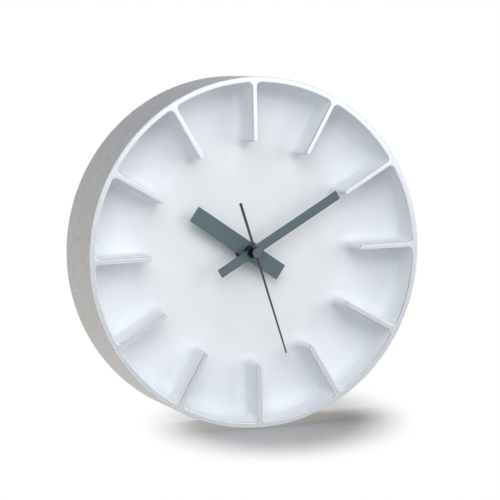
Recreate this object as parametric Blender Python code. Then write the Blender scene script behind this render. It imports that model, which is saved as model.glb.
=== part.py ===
"""A round quartz clock: a cast aluminium case with raised hour ridges, three hands and a battery movement.

Metres, +Z up. The dial faces -Y, and +X is to the right seen from the front.
The origin is under the middle of the clock, level with the lowest point of its rim.
Depths are counted from the plane of the front rim towards the back.
"""

import math

import bmesh
import bpy

MM = 0.001
TURN = 2 * math.pi

# Clearances that pieces share
GAP = 0.3 * MM        # between pieces that are pressed, screwed or laid together
RUN = 0.35 * MM       # round a piece that turns
OVER = 1.0 * MM       # how far a cutter passes the face that it opens
SINK = 0.5 * MM       # how far a post or boss reaches into the plate that it stands on

# Case: one casting, with the dial and the ridges in it
CASE_R = 88.5 * MM
CASE_DEPTH = 40.0 * MM
CASE_TAPER = 0.6 * MM
WALL = 2.8 * MM
RIM_ROUND = 0.9 * MM
BACK_CHAMFER = 0.4 * MM
RECESS = 18.0 * MM
RECESS_TAPER = 0.9 * MM
RECESS_FILLET = 3.5 * MM
DIAL_T = 2.2 * MM
BACK_FILLET = 2.0 * MM
CASE_SIDES = 72

# Hour ridges
RIDGES = 12
RIDGE_TIP_R = 56.1 * MM
RIDGE_W = 2.5 * MM
RIDGE_ROUND = 0.35 * MM
RIDGE_LEAN = 0.6 * MM
RIDGE_FILLET = 3.0 * MM
RIDGE_FLARE = 2.0 * MM
RIDGE_DROP = 0.15 * MM

# Pipes and shaft, each round the one before
SHAFT_R = 0.5 * MM
MINUTE_PIPE_WALL = 0.7 * MM
HOUR_PIPE_WALL = 0.65 * MM
BUSH_WALL = 0.7 * MM
MINUTE_BORE_R = SHAFT_R + RUN
MINUTE_PIPE_R = MINUTE_BORE_R + MINUTE_PIPE_WALL
HOUR_BORE_R = MINUTE_PIPE_R + RUN
HOUR_PIPE_R = HOUR_BORE_R + HOUR_PIPE_WALL
BUSH_BORE_R = HOUR_PIPE_R + RUN
BUSH_R = BUSH_BORE_R + BUSH_WALL
CENTRE_HOLE_R = BUSH_R + GAP

# Hands, stepped forward from the dial, and where they point, clockwise from twelve
HOUR_STANDOFF = 6.9 * MM
MINUTE_STEP = 4.2 * MM
SECOND_STEP = 4.0 * MM
CAP_STEP = 2.6 * MM
HOUR_TIP = 35.8 * MM
HOUR_TAIL = 20.4 * MM
HOUR_W = 8.6 * MM
HOUR_T = 0.6 * MM
HOUR_BOSS_MARGIN = 0.85 * MM
HOUR_BOSS_SET_BACK = 0.15 * MM
MINUTE_TIP = 53.5 * MM
MINUTE_TAIL = 20.6 * MM
MINUTE_W = 4.7 * MM
MINUTE_T = 0.5 * MM
COLLET_WALL = 0.6 * MM
COLLET_LENGTH = 1.3 * MM
SECOND_TIP = 53.5 * MM
SECOND_TAIL = 26.5 * MM
SECOND_TIP_W = 0.75 * MM
SECOND_TAIL_W = 1.4 * MM
SECOND_T = 0.4 * MM
SECOND_TUBE_WALL = 0.6 * MM
CAP_R = 2.4 * MM
CAP_T = 1.0 * MM
CAP_STEM = 0.7 * MM
MINUTE_NUT_WALL = 1.15 * MM
MINUTE_NUT_T = 1.2 * MM
HOUR_ANGLE = math.radians(304.9)
MINUTE_ANGLE = math.radians(60.3)
SECOND_ANGLE = math.radians(163.1)

# Fixing through the dial
WASHER_WALL = 1.4 * MM
WASHER_T = 0.5 * MM
NUT_WALL = 1.1 * MM
NUT_T = 1.8 * MM
GASKET_R = 13.0 * MM
GASKET_T = 0.7 * MM
BUSH_FLANGE = 1.5 * MM
BUSH_FLANGE_T = 0.6 * MM
BUSH_PROUD = 0.4 * MM

# Battery, size AA, and its contacts
BATTERY_R = 7.25 * MM
BATTERY_LENGTH = 50.5 * MM
BATTERY_EDGE = 0.5 * MM
BUTTON_R = 2.75 * MM
BUTTON_T = 1.1 * MM
BATTERY_ROOM = 0.35 * MM
CONTACT_T = 0.4 * MM
CONTACT_W = 9.0 * MM
CONTACT_NECK = 2.0 * MM
SPRING_BOW = 1.3 * MM
SPRING_LEAF_W = 3.0 * MM

# Movement housing and cover
HOUSING_WALL = 1.1 * MM
DIVIDER_T = 1.1 * MM
FRONT_PLATE_T = 1.5 * MM
BAY_FLOOR_T = 0.8 * MM
COVER_T = 1.2 * MM
COVER_PROUD = 0.2 * MM
POST_R = 2.2 * MM
POST_ROOM = 1.3 * MM
PILLAR_R = 1.6 * MM
SOCKET_DEPTH = 0.8 * MM
PIVOT_R = 0.4 * MM
PIVOT_LENGTH = 0.5 * MM

# Wheels. A gear tooth's shares are of its module, and its widths are of its pitch.
WHEEL_T = 0.8 * MM
WHEEL_GAP = 0.55 * MM
PINION_PROUD = 0.14 * MM
BRIDGE_T = 1.0 * MM
TOOTH_TIP_SHARE = 0.8
TOOTH_ROOT_SHARE = 1.2
WHEEL_WIDTH_SHARES = (0.16, 0.60)
PINION_WIDTH_SHARES = (0.14, 0.50)
THIRD_DISTANCE = 10.2 * MM
INTERMEDIATE_DISTANCE = 7.2 * MM
ROTOR_DISTANCE = 6.0 * MM
SETTING_ARBOR_R = 0.7 * MM
SETTING_CLEARANCE = 0.8 * MM
THIRD_BEARING = math.radians(300)
SETTING_BEARING = math.radians(60)
CANNON_TEETH, MINUTE_TEETH = 8, 24
MINUTE_PINION_TEETH, HOUR_TEETH = 8, 32
SECOND_PINION_TEETH, THIRD_TEETH = 6, 45
THIRD_PINION_TEETH, CENTRE_TEETH = 6, 48
ROTOR_TEETH, INTERMEDIATE_TEETH = 6, 36
INTERMEDIATE_PINION_TEETH, SECOND_TEETH = 6, 30

# Motor: rotor, stator and coil
MAGNET_R = 2.0 * MM
STATOR_T = 0.8 * MM
STATOR_RIM = 1.6 * MM
STATOR_LEG = 5.5 * MM
COIL_LENGTH = 20.0 * MM
COIL_FLANGE_R = 3.6 * MM
COIL_FLANGE_T = 0.8 * MM
COIL_CLEARANCE = 0.8 * MM
WINDING_T = 1.0 * MM
BOBBIN_WALL = 0.6 * MM
CORE_W = 2.4 * MM
CORE_T = 0.8 * MM
COIL_HEADROOM = 1.5 * MM

# Circuit board
BOARD_W = 7.6 * MM
BOARD_H = 19.0 * MM
BOARD_T = 0.8 * MM
BOARD_UP = 5.0 * MM
CHIP_R = 2.2 * MM
CHIP_T = 0.9 * MM
CRYSTAL_R = 1.0 * MM
CRYSTAL_LENGTH = 6.0 * MM

# Setting knob
KNOB_R = 4.0 * MM
KNOB_T = 1.8 * MM
KNOB_FLUTE = 0.35 * MM
KNOB_SKIN = 0.5 * MM
KNOB_FLUTES = 18

# Screws: radius of shank and head, head height, length under the head
SMALL_SCREW = {"shank": 0.8 * MM, "head": 1.6 * MM, "head_t": 0.8 * MM, "length": 4.0 * MM}
HANGER_SCREW = {"shank": 1.4 * MM, "head": 2.8 * MM, "head_t": 1.1 * MM, "length": 8.0 * MM}

# Hanger
HANGER_W = 48.0 * MM
HANGER_H = 20.0 * MM
HANGER_T = 1.2 * MM
HANGER_UP = 58.0 * MM
HANGER_CORNER = 3.0 * MM
HANGER_SCREW_INSET = 5.0 * MM
HANGER_BOSS_R = 4.0 * MM
KEYHOLE_R = 4.5 * MM
KEY_SLOT_R = 2.2 * MM
KEY_SLOT_UP = 7.0 * MM

ROUND_SIDES = 24
SMALL_SIDES = 12

# Depths of the stack in front of the dial
HOUR_FRONT = RECESS - HOUR_STANDOFF
MINUTE_FRONT = HOUR_FRONT - MINUTE_STEP
SECOND_FRONT = MINUTE_FRONT - SECOND_STEP
CAP_FRONT = SECOND_FRONT - CAP_STEP
MINUTE_NUT_FRONT = MINUTE_FRONT - GAP - MINUTE_NUT_T
WASHER_FRONT = RECESS - GAP - WASHER_T
NUT_FRONT = WASHER_FRONT - GAP - NUT_T
BUSH_FRONT = NUT_FRONT - BUSH_PROUD

# Depths of the stack behind the dial
DIAL_BACK = RECESS + DIAL_T
GASKET_FRONT = DIAL_BACK + GAP
HOUSING_FRONT = GASKET_FRONT + GASKET_T + GAP
ROOM_FRONT = HOUSING_FRONT + FRONT_PLATE_T
LEVEL = WHEEL_T + WHEEL_GAP
HOUR_LEVEL = ROOM_FRONT + WHEEL_GAP
MINUTE_LEVEL = HOUR_LEVEL + LEVEL
CENTRE_LEVEL = MINUTE_LEVEL + LEVEL
THIRD_LEVEL = CENTRE_LEVEL + LEVEL
BRIDGE_FRONT = THIRD_LEVEL + LEVEL
BRIDGE_BACK = BRIDGE_FRONT + BRIDGE_T
SECOND_LEVEL = BRIDGE_BACK + WHEEL_GAP
INTERMEDIATE_LEVEL = SECOND_LEVEL + LEVEL
CORE_FRONT = SECOND_LEVEL + STATOR_T + GAP
COIL_DEPTH = CORE_FRONT + CORE_T / 2
BATTERY_DEPTH = HOUSING_FRONT + BAY_FLOOR_T + GAP + BATTERY_R
HOUSING_BACK = BATTERY_DEPTH + BATTERY_R + COVER_PROUD
COVER_FRONT = HOUSING_BACK - COVER_T
KNOB_FRONT = HOUSING_BACK + GAP
HANGER_BACK = CASE_DEPTH - HANGER_SCREW["head_t"] - 2 * GAP
HANGER_FRONT = HANGER_BACK - HANGER_T

# Gear modules, from the distances between the arbors
THIRD_MODULE = 2 * THIRD_DISTANCE / (SECOND_PINION_TEETH + THIRD_TEETH)
CENTRE_MODULE = 2 * THIRD_DISTANCE / (THIRD_PINION_TEETH + CENTRE_TEETH)
CENTRE_WHEEL_R = CENTRE_MODULE * (CENTRE_TEETH / 2 + TOOTH_TIP_SHARE)
SETTING_DISTANCE = CENTRE_WHEEL_R + SETTING_CLEARANCE + SETTING_ARBOR_R
MINUTE_MODULE = 2 * SETTING_DISTANCE / (CANNON_TEETH + MINUTE_TEETH)
HOUR_MODULE = 2 * SETTING_DISTANCE / (MINUTE_PINION_TEETH + HOUR_TEETH)
SECOND_MODULE = 2 * INTERMEDIATE_DISTANCE / (INTERMEDIATE_PINION_TEETH + SECOND_TEETH)
ROTOR_MODULE = 2 * ROTOR_DISTANCE / (ROTOR_TEETH + INTERMEDIATE_TEETH)

# Places across the movement, as (x, z) from the hand axis
HAND_AXIS = (0.0, 0.0)
THIRD_AXIS = (THIRD_DISTANCE * math.sin(THIRD_BEARING), THIRD_DISTANCE * math.cos(THIRD_BEARING))
SETTING_AXIS = (
    SETTING_DISTANCE * math.sin(SETTING_BEARING),
    SETTING_DISTANCE * math.cos(SETTING_BEARING),
)
INTERMEDIATE_AXIS = (0.0, INTERMEDIATE_DISTANCE)
ROTOR_AXIS = (0.0, INTERMEDIATE_DISTANCE + ROTOR_DISTANCE)
STATOR_HOLE_R = MAGNET_R + RUN
STATOR_BAR = STATOR_HOLE_R + STATOR_RIM
COIL_UP = ROTOR_AXIS[1] + STATOR_BAR + COIL_CLEARANCE + COIL_FLANGE_R
COIL_SCREW_X = COIL_LENGTH / 2 + COIL_CLEARANCE + STATOR_LEG / 2
ROOM_TOP = COIL_UP + COIL_FLANGE_R + COIL_HEADROOM
ROOM_BOTTOM = -(CENTRE_WHEEL_R + COIL_HEADROOM)
BAY_TOP = ROOM_BOTTOM - DIVIDER_T
BATTERY_UP = BAY_TOP - BATTERY_ROOM - BATTERY_R
BAY_BOTTOM = BATTERY_UP - BATTERY_R - BATTERY_ROOM
BAY_LEFT_ROOM = 2 * GAP + CONTACT_T + SPRING_BOW
BAY_RIGHT_ROOM = 2 * GAP + CONTACT_T
HALF_ROOM = (BATTERY_LENGTH + BAY_LEFT_ROOM + BAY_RIGHT_ROOM) / 2
HALF_W = HALF_ROOM + HOUSING_WALL
POST_X = HALF_ROOM - POST_R - POST_ROOM
POST_TOP = ROOM_TOP - POST_R - GAP
POST_BOTTOM = ROOM_BOTTOM + POST_R + GAP
PILLAR_X = THIRD_DISTANCE + INTERMEDIATE_DISTANCE
PILLAR_LOW = ROOM_BOTTOM + PILLAR_R + RUN + GAP
PILLAR_HIGH = ROTOR_AXIS[1] + STATOR_HOLE_R
BOARD_RIGHT = HALF_ROOM - 2 * GAP - CONTACT_T
BOARD_X = BOARD_RIGHT - BOARD_W / 2
BOARD_POSTS = [(BOARD_X, BOARD_UP + side * (BOARD_H / 2 - PILLAR_R)) for side in (-1, 1)]
HANGER_SCREW_X = HANGER_W / 2 - HANGER_SCREW_INSET

FINISHES = {
    "white_coated_casting": ("EDEFF2", 0.0, 0.55),
    "slate_painted_metal": ("64737A", 0.2, 0.5),
    "charcoal_painted_metal": ("3B3E42", 0.2, 0.45),
    "black_steel": ("1C1D1F", 0.6, 0.4),
    "steel": ("B9BBBD", 1.0, 0.35),
    "brass": ("B89B5A", 1.0, 0.35),
    "black_plastic": ("222326", 0.0, 0.5),
    "grey_plastic": ("8E9296", 0.0, 0.45),
    "white_nylon": ("E4E2DA", 0.0, 0.4),
    "rubber": ("2A2A2A", 0.0, 0.8),
    "copper": ("B4703E", 1.0, 0.4),
    "magnet": ("55565A", 0.5, 0.5),
    "board_green": ("2E5B43", 0.0, 0.5),
    "battery_jacket": ("3F6F9A", 0.3, 0.35),
}


# Scene helpers


def clear_scene():
    for obj in list(bpy.data.objects):
        bpy.data.objects.remove(obj)


def linear(value):
    """One sRGB channel, from 0 to 1, as linear light."""
    return value / 12.92 if value <= 0.04045 else ((value + 0.055) / 1.055) ** 2.4


def finish_material(name):
    """The material of a finish, made once."""
    found = bpy.data.materials.get(name)
    if found:
        return found
    colour, metallic, roughness = FINISHES[name]
    channels = [linear(int(colour[i:i + 2], 16) / 255) for i in (0, 2, 4)]
    made = bpy.data.materials.new(name)
    made.use_nodes = True
    shader = made.node_tree.nodes["Principled BSDF"]
    shader.inputs["Base Color"].default_value = (*channels, 1.0)
    shader.inputs["Metallic"].default_value = metallic
    shader.inputs["Roughness"].default_value = roughness
    made.diffuse_color = (*channels, 1.0)
    return made


def axis_empty(name, place):
    """An empty on an arbor's axis, at the front rim's plane and the hand axis' height plus its own."""
    empty = bpy.data.objects.new(name, None)
    empty.location = (place[0], -CASE_DEPTH / 2, CASE_R + place[1])
    bpy.context.scene.collection.objects.link(empty)
    return empty


def piece(name, mesh, finish, axis):
    """A mesh built round an axis, in depths from the front rim, as an object on that axis."""
    data = bpy.data.meshes.new(name)
    bmesh.ops.recalc_face_normals(mesh, faces=mesh.faces)
    mesh.to_mesh(data)
    mesh.free()
    data.materials.append(finish_material(finish))
    data.shade_smooth()
    data.set_sharp_from_angle(angle=math.radians(30))
    obj = bpy.data.objects.new(name, data)
    obj.parent = axis
    bpy.context.scene.collection.objects.link(obj)
    return obj


def combine(obj, operation, mesh):
    """Joins a mesh to an object, or cuts it out, with a Boolean modifier and a hidden tool."""
    tool = piece(f"{obj.name}_{operation.lower()}", mesh, obj.data.materials[0].name, obj.parent)
    tool.hide_render = True
    tool.display_type = "WIRE"
    modifier = obj.modifiers.new(operation.title(), "BOOLEAN")
    modifier.operation = operation
    modifier.solver = "EXACT"
    modifier.object = tool


# Shapes, each a closed mesh


def arc(centre, radius, start, stop, steps):
    """Points on an arc, with angles counted from the first coordinate towards the second."""
    angles = [start + (stop - start) * i / steps for i in range(steps + 1)]
    return [(centre[0] + radius * math.cos(a), centre[1] + radius * math.sin(a)) for a in angles]


def shift(outline, place):
    return [(x + place[0], z + place[1]) for x, z in outline]


def circle(radius, sides=SMALL_SIDES, place=(0.0, 0.0)):
    points = [(radius * math.sin(TURN * i / sides), radius * math.cos(TURN * i / sides)) for i in range(sides)]
    return shift(points, place)


def rectangle(left, right, low, high):
    return [(left, low), (right, low), (right, high), (left, high)]


def add_prism(mesh, outline, low, high, along="Y"):
    """Adds a straight solid. The outline is (x, z) along Y, (depth, z) along X and (x, depth) along Z."""
    order = {
        "Y": lambda a, b, t: (a, t, b),
        "X": lambda a, b, t: (t, a, b),
        "Z": lambda a, b, t: (a, b, t),
    }[along]
    ends = [[mesh.verts.new(order(a, b, t)) for a, b in outline] for t in (low, high)]
    mesh.faces.new(ends[0])
    mesh.faces.new(list(reversed(ends[1])))
    for i in range(len(outline)):
        mesh.faces.new((ends[0][i], ends[0][i - 1], ends[1][i - 1], ends[1][i]))
    return mesh


def prism(outline, low, high, along="Y"):
    return add_prism(bmesh.new(), outline, low, high, along)


def prisms(outlines, low, high):
    mesh = bmesh.new()
    for outline in outlines:
        add_prism(mesh, outline, low, high)
    return mesh


def turned(profile, sides=ROUND_SIDES, closed=True):
    """Turns (radius, depth) points about the Y axis. An open profile starts and ends on the axis."""
    mesh = bmesh.new()
    verts = [mesh.verts.new((0.0, depth, radius)) for radius, depth in profile]
    pairs = list(zip(verts, verts[1:] + verts[:1] if closed else verts[1:]))
    edges = [mesh.edges.new(pair) for pair in pairs]
    bmesh.ops.spin(
        mesh, geom=verts + edges, cent=(0, 0, 0), axis=(0, 1, 0), angle=TURN, steps=sides, use_merge=True
    )
    bmesh.ops.remove_doubles(mesh, verts=mesh.verts, dist=MM / 1000)
    return mesh


def tube(inner, outer, low, high, sides=ROUND_SIDES):
    return turned([(inner, low), (outer, low), (outer, high), (inner, high)], sides)


def rod(radius, low, high, sides=SMALL_SIDES):
    return turned([(0.0, low), (radius, low), (radius, high), (0.0, high)], sides, closed=False)


def gear_outline(teeth, module, widths, bearing):
    """Straight-sided teeth round the origin, the first one centred on a bearing clockwise from +Z."""
    pitch = TURN / teeth
    root = module * (teeth / 2 - TOOTH_ROOT_SHARE)
    tip = module * (teeth / 2 + TOOTH_TIP_SHARE)
    corners = [
        (root, -widths[1] / 2), (tip, -widths[0] / 2), (tip, widths[0] / 2), (root, widths[1] / 2)
    ]
    angles = [
        (radius, bearing + pitch * (tooth + share)) for tooth in range(teeth) for radius, share in corners
    ]
    return [(radius * math.sin(a), radius * math.cos(a)) for radius, a in angles]


def bearing(start, end):
    return math.atan2(end[0] - start[0], end[1] - start[1])


def pinion(teeth, module, own, other, low, high):
    """A pinion with a tooth towards the wheel that it drives."""
    return prism(gear_outline(teeth, module, PINION_WIDTH_SHARES, bearing(own, other)), low, high)


def wheel(teeth, module, own, other, level):
    """A wheel with a gap between teeth towards its pinion."""
    facing = bearing(own, other) + TURN / (2 * teeth)
    return prism(gear_outline(teeth, module, WHEEL_WIDTH_SHARES, facing), level, level + WHEEL_T)


def make_screws(name, places, seat, size, axis):
    """Equal screws with their heads behind the face at depth seat, numbered from 1."""
    under = seat + GAP
    profile = [
        (0.0, under - size["length"]),
        (size["shank"], under - size["length"]),
        (size["shank"], under),
        (size["head"], under),
        (size["head"], under + size["head_t"]),
        (0.0, under + size["head_t"]),
    ]
    for number, place in enumerate(places, 1):
        screw = piece(f"{name}_{number}", turned(profile, SMALL_SIDES, closed=False), "steel", axis)
        screw.location = (place[0], 0.0, place[1])


# The case


def case_profile():
    """The case's section, from the centre hole along the dial, over the rim and back inside."""
    inner = CASE_R - WALL
    foot = inner - RECESS_TAPER
    back = CASE_R - CASE_TAPER
    back_inner = back - WALL
    right = math.pi / 2
    profile = [(CENTRE_HOLE_R, RECESS)]
    profile += arc((foot - RECESS_FILLET, RECESS - RECESS_FILLET), RECESS_FILLET, right, 0.0, 3)
    profile += arc((inner + RIM_ROUND, RIM_ROUND), RIM_ROUND, math.pi, 3 * right, 2)
    profile += arc((CASE_R - RIM_ROUND, RIM_ROUND), RIM_ROUND, 3 * right, 4 * right, 2)
    profile += [(back, CASE_DEPTH - BACK_CHAMFER), (back - BACK_CHAMFER, CASE_DEPTH)]
    profile += [(back_inner, CASE_DEPTH)]
    profile += arc(
        (back_inner - RECESS_TAPER - BACK_FILLET, DIAL_BACK + BACK_FILLET), BACK_FILLET, 0.0, -right, 2
    )
    profile += [(CENTRE_HOLE_R, DIAL_BACK)]
    return profile


def ridge_outline(half, tip, inner):
    """A ridge in plan, pointing to +Z: round at its tip, flared where it meets the wall."""
    side = [(half, tip + half)]
    side += [
        (half + RIDGE_FLARE * (1 - math.cos(a)), inner - RIDGE_FLARE * (1 - math.sin(a)))
        for a in (0.0, math.pi / 4, math.pi / 2)
    ]
    side += [(half + RIDGE_FLARE, CASE_R - WALL / 2)]
    tip_round = [(x, z) for x, z in arc((0.0, tip + half), half, math.pi, 2 * math.pi, 4)][1:-1]
    return [(-x, z) for x, z in reversed(side)] + tip_round + side


def ridge_levels():
    """(depth, half width, tip radius, wall radius) of a ridge, from its crest to inside the dial."""
    half = RIDGE_W / 2
    foot = RECESS - RIDGE_FILLET
    wall = CASE_R - WALL
    levels = [
        (RIDGE_DROP, half - RIDGE_ROUND, RIDGE_TIP_R + RIDGE_ROUND, wall),
        (RIDGE_DROP + RIDGE_ROUND, half, RIDGE_TIP_R, wall),
    ]
    for angle in (0.0, math.pi / 4, math.pi / 2):
        spread = RIDGE_LEAN + RIDGE_FILLET * (1 - math.cos(angle))
        depth = foot + RIDGE_FILLET * math.sin(angle)
        levels.append((depth, half + spread, RIDGE_TIP_R - spread, wall - RECESS_TAPER))
    depth, half, tip, wall = levels[-1]
    levels.append((depth + DIAL_T / 2, half, tip, wall))
    return levels


def add_ridge(mesh, angle):
    """One ridge as a stack of outlines, turned to its hour."""
    rings = []
    for depth, half, tip, wall in ridge_levels():
        points = ridge_outline(half, tip, wall)
        turned_points = [
            (x * math.cos(angle) + z * math.sin(angle), z * math.cos(angle) - x * math.sin(angle))
            for x, z in points
        ]
        rings.append([mesh.verts.new((x, depth, z)) for x, z in turned_points])
    mesh.faces.new(rings[0])
    mesh.faces.new(list(reversed(rings[-1])))
    for upper, lower in zip(rings, rings[1:]):
        for i in range(len(upper)):
            mesh.faces.new((upper[i], upper[i - 1], lower[i - 1], lower[i]))


def make_case(axis):
    """The casting: drum, dial and ridges, with two bosses behind the dial for the hanger."""
    case = piece("case", turned(case_profile(), CASE_SIDES), "white_coated_casting", axis)
    ridges = bmesh.new()
    for hour in range(RIDGES):
        add_ridge(ridges, TURN * hour / RIDGES)
    places = [(side * HANGER_SCREW_X, HANGER_UP) for side in (-1, 1)]
    for place in places:
        add_prism(
            ridges,
            circle(HANGER_BOSS_R, SMALL_SIDES, place),
            DIAL_BACK - DIAL_T / 2,
            HANGER_FRONT - GAP,
        )
    combine(case, "UNION", ridges)
    hole_r = HANGER_SCREW["shank"] + GAP
    bottom = HANGER_BACK - HANGER_SCREW["length"] - 2 * GAP
    holes = [circle(hole_r, SMALL_SIDES, place) for place in places]
    combine(case, "DIFFERENCE", prisms(holes, bottom, HANGER_FRONT + OVER))


def make_hanger(axis):
    """A steel plate with a keyhole, on two bosses behind the dial."""
    half = HANGER_W / 2
    corners = []
    for right, up, start in ((1, 1, 0.0), (-1, 1, 1.0), (-1, -1, 2.0), (1, -1, 3.0)):
        centre = (right * (half - HANGER_CORNER), HANGER_UP + up * (HANGER_H / 2 - HANGER_CORNER))
        corners += arc(centre, HANGER_CORNER, start * TURN / 4, (start + 1) * TURN / 4, 3)
    plate = piece("hanger_plate", prism(corners, HANGER_FRONT, HANGER_BACK), "steel", axis)
    middle = (0.0, HANGER_UP - KEY_SLOT_UP / 2)
    places = [(side * HANGER_SCREW_X, HANGER_UP) for side in (-1, 1)]
    opening_angle = math.asin(KEY_SLOT_R / KEYHOLE_R)
    keyhole = arc(
        middle, KEYHOLE_R, TURN / 4 + opening_angle, TURN * 5 / 4 - opening_angle, 12
    )
    keyhole += arc((0.0, middle[1] + KEY_SLOT_UP), KEY_SLOT_R, 0.0, TURN / 2, 6)
    holes = [circle(HANGER_SCREW["shank"] + GAP, SMALL_SIDES, place) for place in places]
    cutters = prisms([keyhole, *holes], HANGER_FRONT - OVER, HANGER_BACK + OVER)
    combine(plate, "DIFFERENCE", cutters)
    make_screws("hanger_screw", places, HANGER_BACK, HANGER_SCREW, axis)


# The hands


def make_hour_hand(axis):
    bore = HOUR_PIPE_R + GAP
    boss = HOUR_W / 2 + HOUR_BOSS_MARGIN
    boss_front = HOUR_FRONT + HOUR_BOSS_SET_BACK
    blade = rectangle(-HOUR_W / 2, HOUR_W / 2, -HOUR_TAIL, HOUR_TIP)
    hand = piece("hour_hand", prism(blade, HOUR_FRONT, HOUR_FRONT + HOUR_T), "slate_painted_metal", axis)
    hub = turned(
        [
            (0.0, boss_front),
            (boss, boss_front),
            (boss, boss_front + HOUR_T),
            (bore + COLLET_WALL, boss_front + HOUR_T),
            (bore + COLLET_WALL, HOUR_FRONT + HOUR_T + COLLET_LENGTH),
            (0.0, HOUR_FRONT + HOUR_T + COLLET_LENGTH),
        ],
        closed=False,
    )
    combine(hand, "UNION", hub)
    combine(hand, "DIFFERENCE", rod(bore, HOUR_FRONT - OVER, RECESS, ROUND_SIDES))
    hand.rotation_euler.y = HOUR_ANGLE


def make_minute_hand(axis):
    bore = MINUTE_PIPE_R + GAP
    blade = rectangle(-MINUTE_W / 2, MINUTE_W / 2, -MINUTE_TAIL, MINUTE_TIP)
    back = MINUTE_FRONT + MINUTE_T
    hand = piece("minute_hand", prism(blade, MINUTE_FRONT, back), "slate_painted_metal", axis)
    collet = rod(bore + COLLET_WALL, back - MINUTE_T / 2, back + COLLET_LENGTH, ROUND_SIDES)
    combine(hand, "UNION", collet)
    combine(hand, "DIFFERENCE", rod(bore, MINUTE_FRONT - OVER, back + COLLET_LENGTH + OVER, ROUND_SIDES))
    hand.rotation_euler.y = MINUTE_ANGLE
    nut = tube(bore, bore + MINUTE_NUT_WALL, MINUTE_NUT_FRONT, MINUTE_NUT_FRONT + MINUTE_NUT_T)
    piece("minute_hand_nut", nut, "black_steel", axis)


def make_second_hand(axis):
    bore = SHAFT_R + GAP
    tail, tip = SECOND_TAIL_W / 2, SECOND_TIP_W / 2
    blade = [(-tail, -SECOND_TAIL), (tail, -SECOND_TAIL), (tip, SECOND_TIP), (-tip, SECOND_TIP)]
    back = SECOND_FRONT + SECOND_T
    hand = piece("second_hand", prism(blade, SECOND_FRONT, back), "charcoal_painted_metal", axis)
    tube_front = CAP_FRONT + CAP_T + GAP
    tube_back = MINUTE_NUT_FRONT - RUN
    combine(hand, "UNION", rod(bore + SECOND_TUBE_WALL, tube_front, tube_back, ROUND_SIDES))
    combine(hand, "DIFFERENCE", rod(bore, tube_front - OVER, tube_back + OVER, ROUND_SIDES))
    hand.rotation_euler.y = SECOND_ANGLE
    stem_back = tube_front + CAP_STEM
    cap = turned(
        [
            (0.0, CAP_FRONT),
            (CAP_R, CAP_FRONT),
            (CAP_R, CAP_FRONT + CAP_T),
            (SHAFT_R, CAP_FRONT + CAP_T),
            (SHAFT_R, stem_back),
            (0.0, stem_back),
        ],
        closed=False,
    )
    piece("second_hand_cap", cap, "slate_painted_metal", axis)


# What clamps the movement to the dial


def make_fixings(axis):
    washer = tube(CENTRE_HOLE_R, CENTRE_HOLE_R + WASHER_WALL, WASHER_FRONT, WASHER_FRONT + WASHER_T)
    piece("dial_washer", washer, "black_steel", axis)
    nut = prism(circle(CENTRE_HOLE_R + NUT_WALL, ROUND_SIDES), NUT_FRONT, NUT_FRONT + NUT_T)
    nut = piece("fixing_nut", nut, "black_steel", axis)
    combine(nut, "DIFFERENCE", rod(CENTRE_HOLE_R, NUT_FRONT - OVER, RECESS, ROUND_SIDES))
    gasket = tube(CENTRE_HOLE_R, GASKET_R, GASKET_FRONT, GASKET_FRONT + GASKET_T)
    piece("dial_gasket", gasket, "rubber", axis)
    flange = BUSH_R + BUSH_FLANGE
    bush = turned(
        [
            (BUSH_BORE_R, BUSH_FRONT),
            (BUSH_R, BUSH_FRONT),
            (BUSH_R, ROOM_FRONT - BUSH_FLANGE_T),
            (flange, ROOM_FRONT - BUSH_FLANGE_T),
            (flange, ROOM_FRONT),
            (BUSH_BORE_R, ROOM_FRONT),
        ]
    )
    piece("threaded_bush", bush, "brass", axis)


# The movement's shells


def corner_posts():
    return [(side * POST_X, up) for side in (-1, 1) for up in (POST_BOTTOM, POST_TOP)]


def coil_posts():
    return [(side * COIL_SCREW_X, COIL_UP) for side in (-1, 1)]


def bridge_pillars():
    return [(-PILLAR_X, PILLAR_LOW), (PILLAR_X, PILLAR_LOW)]


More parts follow.
